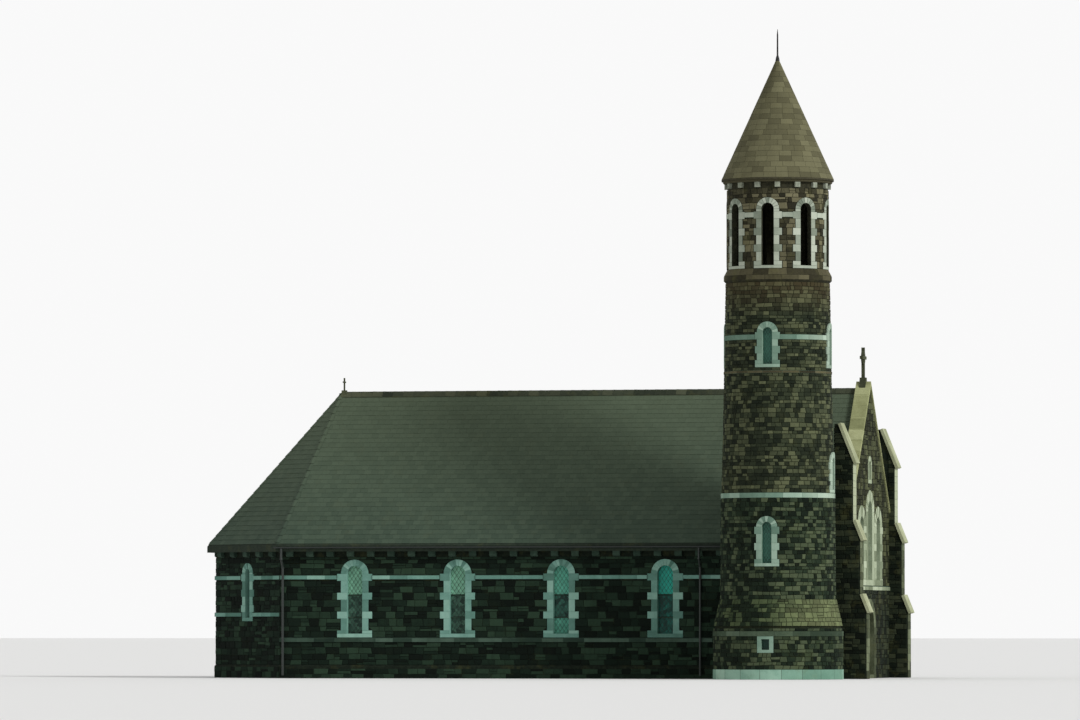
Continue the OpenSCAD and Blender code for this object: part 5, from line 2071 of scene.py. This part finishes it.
@dataclass
class Door:
    """The two closed leaves of the front door."""

    shop: Workshop
    front: Front
    leaf_in: float = 0.22
    foot: float = 0.16
    boards: int = 12
    leaf_gap: float = 0.01
    board_gap: float = 0.003
    strap_heights: Heights = (0.55, 1.30, 2.05)
    strap_ends: Span = (0.82, 0.12)
    strap_out: float = 0.014
    strap_r: float = 0.026
    stud_pitch: float = 0.13
    stud_out: float = 0.036
    stud_r: float = 0.014
    ring_at: Flat = (0.14, 1.12)
    ring_out: float = 0.03
    ring_size: Span = (0.06, 0.008)
    ring_steps: int = 16
    ring_sides: int = 6

    def build(self) -> None:
        """Board the leaves and hang their ironwork."""
        light = self.front.door_light
        face = self.front.face
        half = light.width / 2 - self.leaf_gap
        width = (light.width - 2 * self.leaf_gap) / self.boards
        boards, straps, studs, stones = Bed(), [], [], []
        for k in range(self.boards):
            ends = (-light.width / 2 + self.leaf_gap + k * width + self.board_gap,
                    -light.width / 2 + self.leaf_gap + (k + 1) * width - self.board_gap)
            heads = [light.spring + math.sqrt(max(0.0, half ** 2 - u * u)) for u in ends]
            stones.append(Stone([(u, self.foot) for u in ends], list(zip(ends, heads))))
        boards.add(face, stones, -self.leaf_in)
        self.shop.lay("door_planks", boards, "door boards", Slot.WOOD, Work.BOARD, seed=71)
        for side in (-1, 1):
            for v in self.strap_heights:
                ends = (side * self.strap_ends[0], side * self.strap_ends[1])
                straps.append([face.place(u, v, self.strap_out - self.leaf_in) for u in ends])
                count = round(abs(ends[0] - ends[1]) / self.stud_pitch)
                studs += [face.place(ends[0] + (ends[1] - ends[0]) * (k + 0.5) / count, v,
                                     self.stud_out - self.leaf_in) for k in range(count)]
        turns = [t * TURN / self.ring_steps for t in range(self.ring_steps + 1)]
        (u, v), (size, thick) = self.ring_at, self.ring_size
        ring = [face.place(u + size * math.cos(turn), v + size * math.sin(turn), self.ring_out - self.leaf_in)
                for turn in turns]
        self.shop.sweep("door_straps", straps, self.strap_r, "wrought iron", Slot.IRON)
        self.shop.sweep("door_ring", [ring], thick, "wrought iron", Slot.IRON, self.ring_sides)
        self.shop.stud("door_studs", studs, self.stud_r, "wrought iron", Slot.IRON)


@dataclass
class Gutters:
    """The iron brackets that carry the gutters."""

    shop: Workshop
    nave: Nave
    reach: float = 0.415
    height: float = 5.447
    radius: float = 0.074
    pitch: float = 0.86
    bar_r: float = 0.009
    clear: float = 1.9
    bend_steps: int = 8
    bend_points: int = 7

    def build(self) -> None:
        """Bend a bracket round the gutter at each step along both walls."""
        lines = []
        count = int((self.nave.right - self.nave.left) / self.pitch)
        turns = [math.pi + math.pi * t / self.bend_steps for t in range(self.bend_points)]
        for near in (True, False):
            face = self.nave.face(near)
            for k in range(count):
                u = (self.nave.left + (k + 0.5) * self.pitch) * (1 if near else -1)
                if near and abs(u - self.nave.tower.middle) < self.clear:
                    continue
                lines.append([face.place(u, self.height + self.radius * math.sin(turn),
                                         self.reach + self.radius * math.cos(turn)) for turn in turns])
        self.shop.sweep("gutter_brackets", lines, self.bar_r, "painted iron", Slot.IRON)


CAD_FINISH = {
    "nave mortar": ("plinth", "near_wall", "far_wall", "apse_near_wall", "apse_end_wall", "apse_far_wall",
                    "near_pier", "far_pier"),
    "tower mortar": ("tower_base_drum", "tower_lower_stage", "tower_middle_stage", "tower_upper_stage"),
    "belfry mortar": ("belfry_wall",),
    "gable mortar": ("front_gable_wall",),
    "string blocks bed": ("string_courses", "near_corbel_table", "far_corbel_table", "apse_corbel_table"),
    "nave dressings bed": ("nave_window_surrounds", "apse_window_surrounds"),
    "front dressings bed": ("front_window_surrounds",),
    "pier fronts bed": ("door_surround",),
    "tower dressings bed": ("tower_window_surrounds",),
    "base course": ("tower_base_course",),
    "band bed": ("tower_bands",),
    "arch reveals": ("belfry_surrounds",),
    "eaves and corbels": ("belfry_eaves",),
    "coping slabs bed": ("gable_coping",),
    "pier weathering bed": ("pier_weatherings",),
    "cross stone bed": ("gable_cross", "apse_finial"),
    "cone joints": ("cone_roof",),
    "ridge tiles bed": ("ridge_tiles",),
    "floor stone": ("nave_floor", "belfry_floor"),
    "roof boards": ("near_roof_slope", "far_roof_slope", "apse_roof"),
    "nave glass": ("nave_window_glass",),
    "apse glass": ("apse_window_glass",),
    "tower glass": ("front_window_glass", "tower_window_glass"),
    "painted iron": ("rainwater_pipes",),
    "wrought iron": ("spire_finial",),
    "door frame wood": ("door_leaves",),
}


def finish_nodes(palette: Palette) -> None:
    """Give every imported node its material.

    Args:
        palette: The finishes.
    """
    for finish, nodes in CAD_FINISH.items():
        for name in nodes:
            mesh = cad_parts[name].data
            mesh.materials.clear()
            mesh.materials.append(palette[finish])
    log.info("finished %d packed nodes", sum(map(len, CAD_FINISH.values())))


@dataclass
class Studio:
    """A plain pale floor, soft light and the camera."""

    turn: float = math.radians(13.3)
    distance: float = 320.0
    view_w: float = 45.0
    eye_z: float = 2.0
    floor_half: float = 1500.0
    floor_z: float = -0.004
    floor_colour: Direction = (0.78, 0.78, 0.77)
    floor_rough: float = 0.95
    sensor: float = 36.0
    sun_strength: float = 2.3
    sun_from: Direction = (0.79, -0.34, 0.52)
    sun_spread: float = math.radians(12)
    sky_strength: float = 0.56
    sky_seen: float = 0.95

    def build(self) -> None:
        """Set the stage round the chapel."""
        self.lay_floor()
        self.light()
        self.aim()

    def lay_floor(self) -> None:
        """Lay the floor under the chapel."""
        half = self.floor_half
        mesh = bpy.data.meshes.new("floor")
        corners = ((-half, -half), (half, -half), (half, half), (-half, half))
        mesh.from_pydata([(x, y, self.floor_z) for x, y in corners], [], [(0, 1, 2, 3)])
        floor = bpy.data.objects.new("floor", mesh)
        bpy.context.scene.collection.objects.link(floor)
        made, _, surface = new_material("pale floor", self.floor_rough)
        surface["Base Color"].default_value = (*self.floor_colour, 1.0)
        mesh.materials.append(made)
        floor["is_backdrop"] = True

    def light(self) -> None:
        """Hang a soft sun off the front and light the sky evenly, white where the eye or gloss sees it."""
        sun_data = bpy.data.lights.new("sun", "SUN")
        sun_data.energy = self.sun_strength
        sun_data.angle = self.sun_spread
        sun = bpy.data.objects.new("sun", sun_data)
        sun.rotation_euler = Vector(self.sun_from).to_track_quat("Z", "Y").to_euler()
        bpy.context.scene.collection.objects.link(sun)
        sun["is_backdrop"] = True
        world = bpy.data.worlds.new("studio")
        bpy.context.scene.world = world
        world.use_nodes = True
        tree = world.node_tree
        path = add_node(tree, "ShaderNodeLightPath").outputs
        seen = reckon(tree, "MAXIMUM", path["Is Camera Ray"], path["Is Glossy Ray"])
        through = reckon(tree, "MAXIMUM", seen, path["Is Transmission Ray"])
        sky = tree.nodes["Background"].inputs
        tree.links.new(ranged(tree, through, (0.0, 1.0), self.sky_strength, self.sky_seen), sky["Strength"])
        sky["Color"].default_value = (1.0, 1.0, 1.0, 1.0)

    def aim(self) -> None:
        """Set the camera at the photo's viewing angle."""
        low, high = CAD_BOX
        centre = (low + high) / 2
        data = bpy.data.cameras.new("camera")
        data.sensor_width = self.sensor
        data.lens = self.sensor * self.distance / self.view_w
        data.clip_end = 4 * self.floor_half
        camera = bpy.data.objects.new("camera", data)
        back = Vector((math.sin(self.turn), -math.cos(self.turn), 0)) * self.distance
        camera.location = Vector((centre.x + back.x, centre.y + back.y, self.eye_z))
        camera.rotation_euler = (centre - camera.location).to_track_quat("-Z", "Y").to_euler()
        bpy.context.scene.collection.objects.link(camera)
        bpy.context.scene.camera = camera
        bpy.context.scene.view_settings.view_transform = "Standard"


def main() -> None:
    """Build the chapel's dress and its studio."""
    logging.basicConfig(level=logging.INFO, format="%(name)s: %(message)s")
    palette = Palette(FINISHES)
    finish_nodes(palette)
    shop = Workshop(palette)
    tower = Tower(shop)
    nave = Nave(shop, tower.shadow())
    front = Front(shop)
    for part in (nave, Apse(shop), front, Roof(shop, tower.shadow(), tower.axis[1]), tower,
                 Door(shop, front), Gutters(shop, nave), Studio()):
        part.build()
    log.info("%d triangles added", shop.made)
    boxes = {name: [list(corner) for corner in box] for name, box in (("cad", CAD_BOX), ("visual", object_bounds()))}


if __name__ == "__main__":
    main()
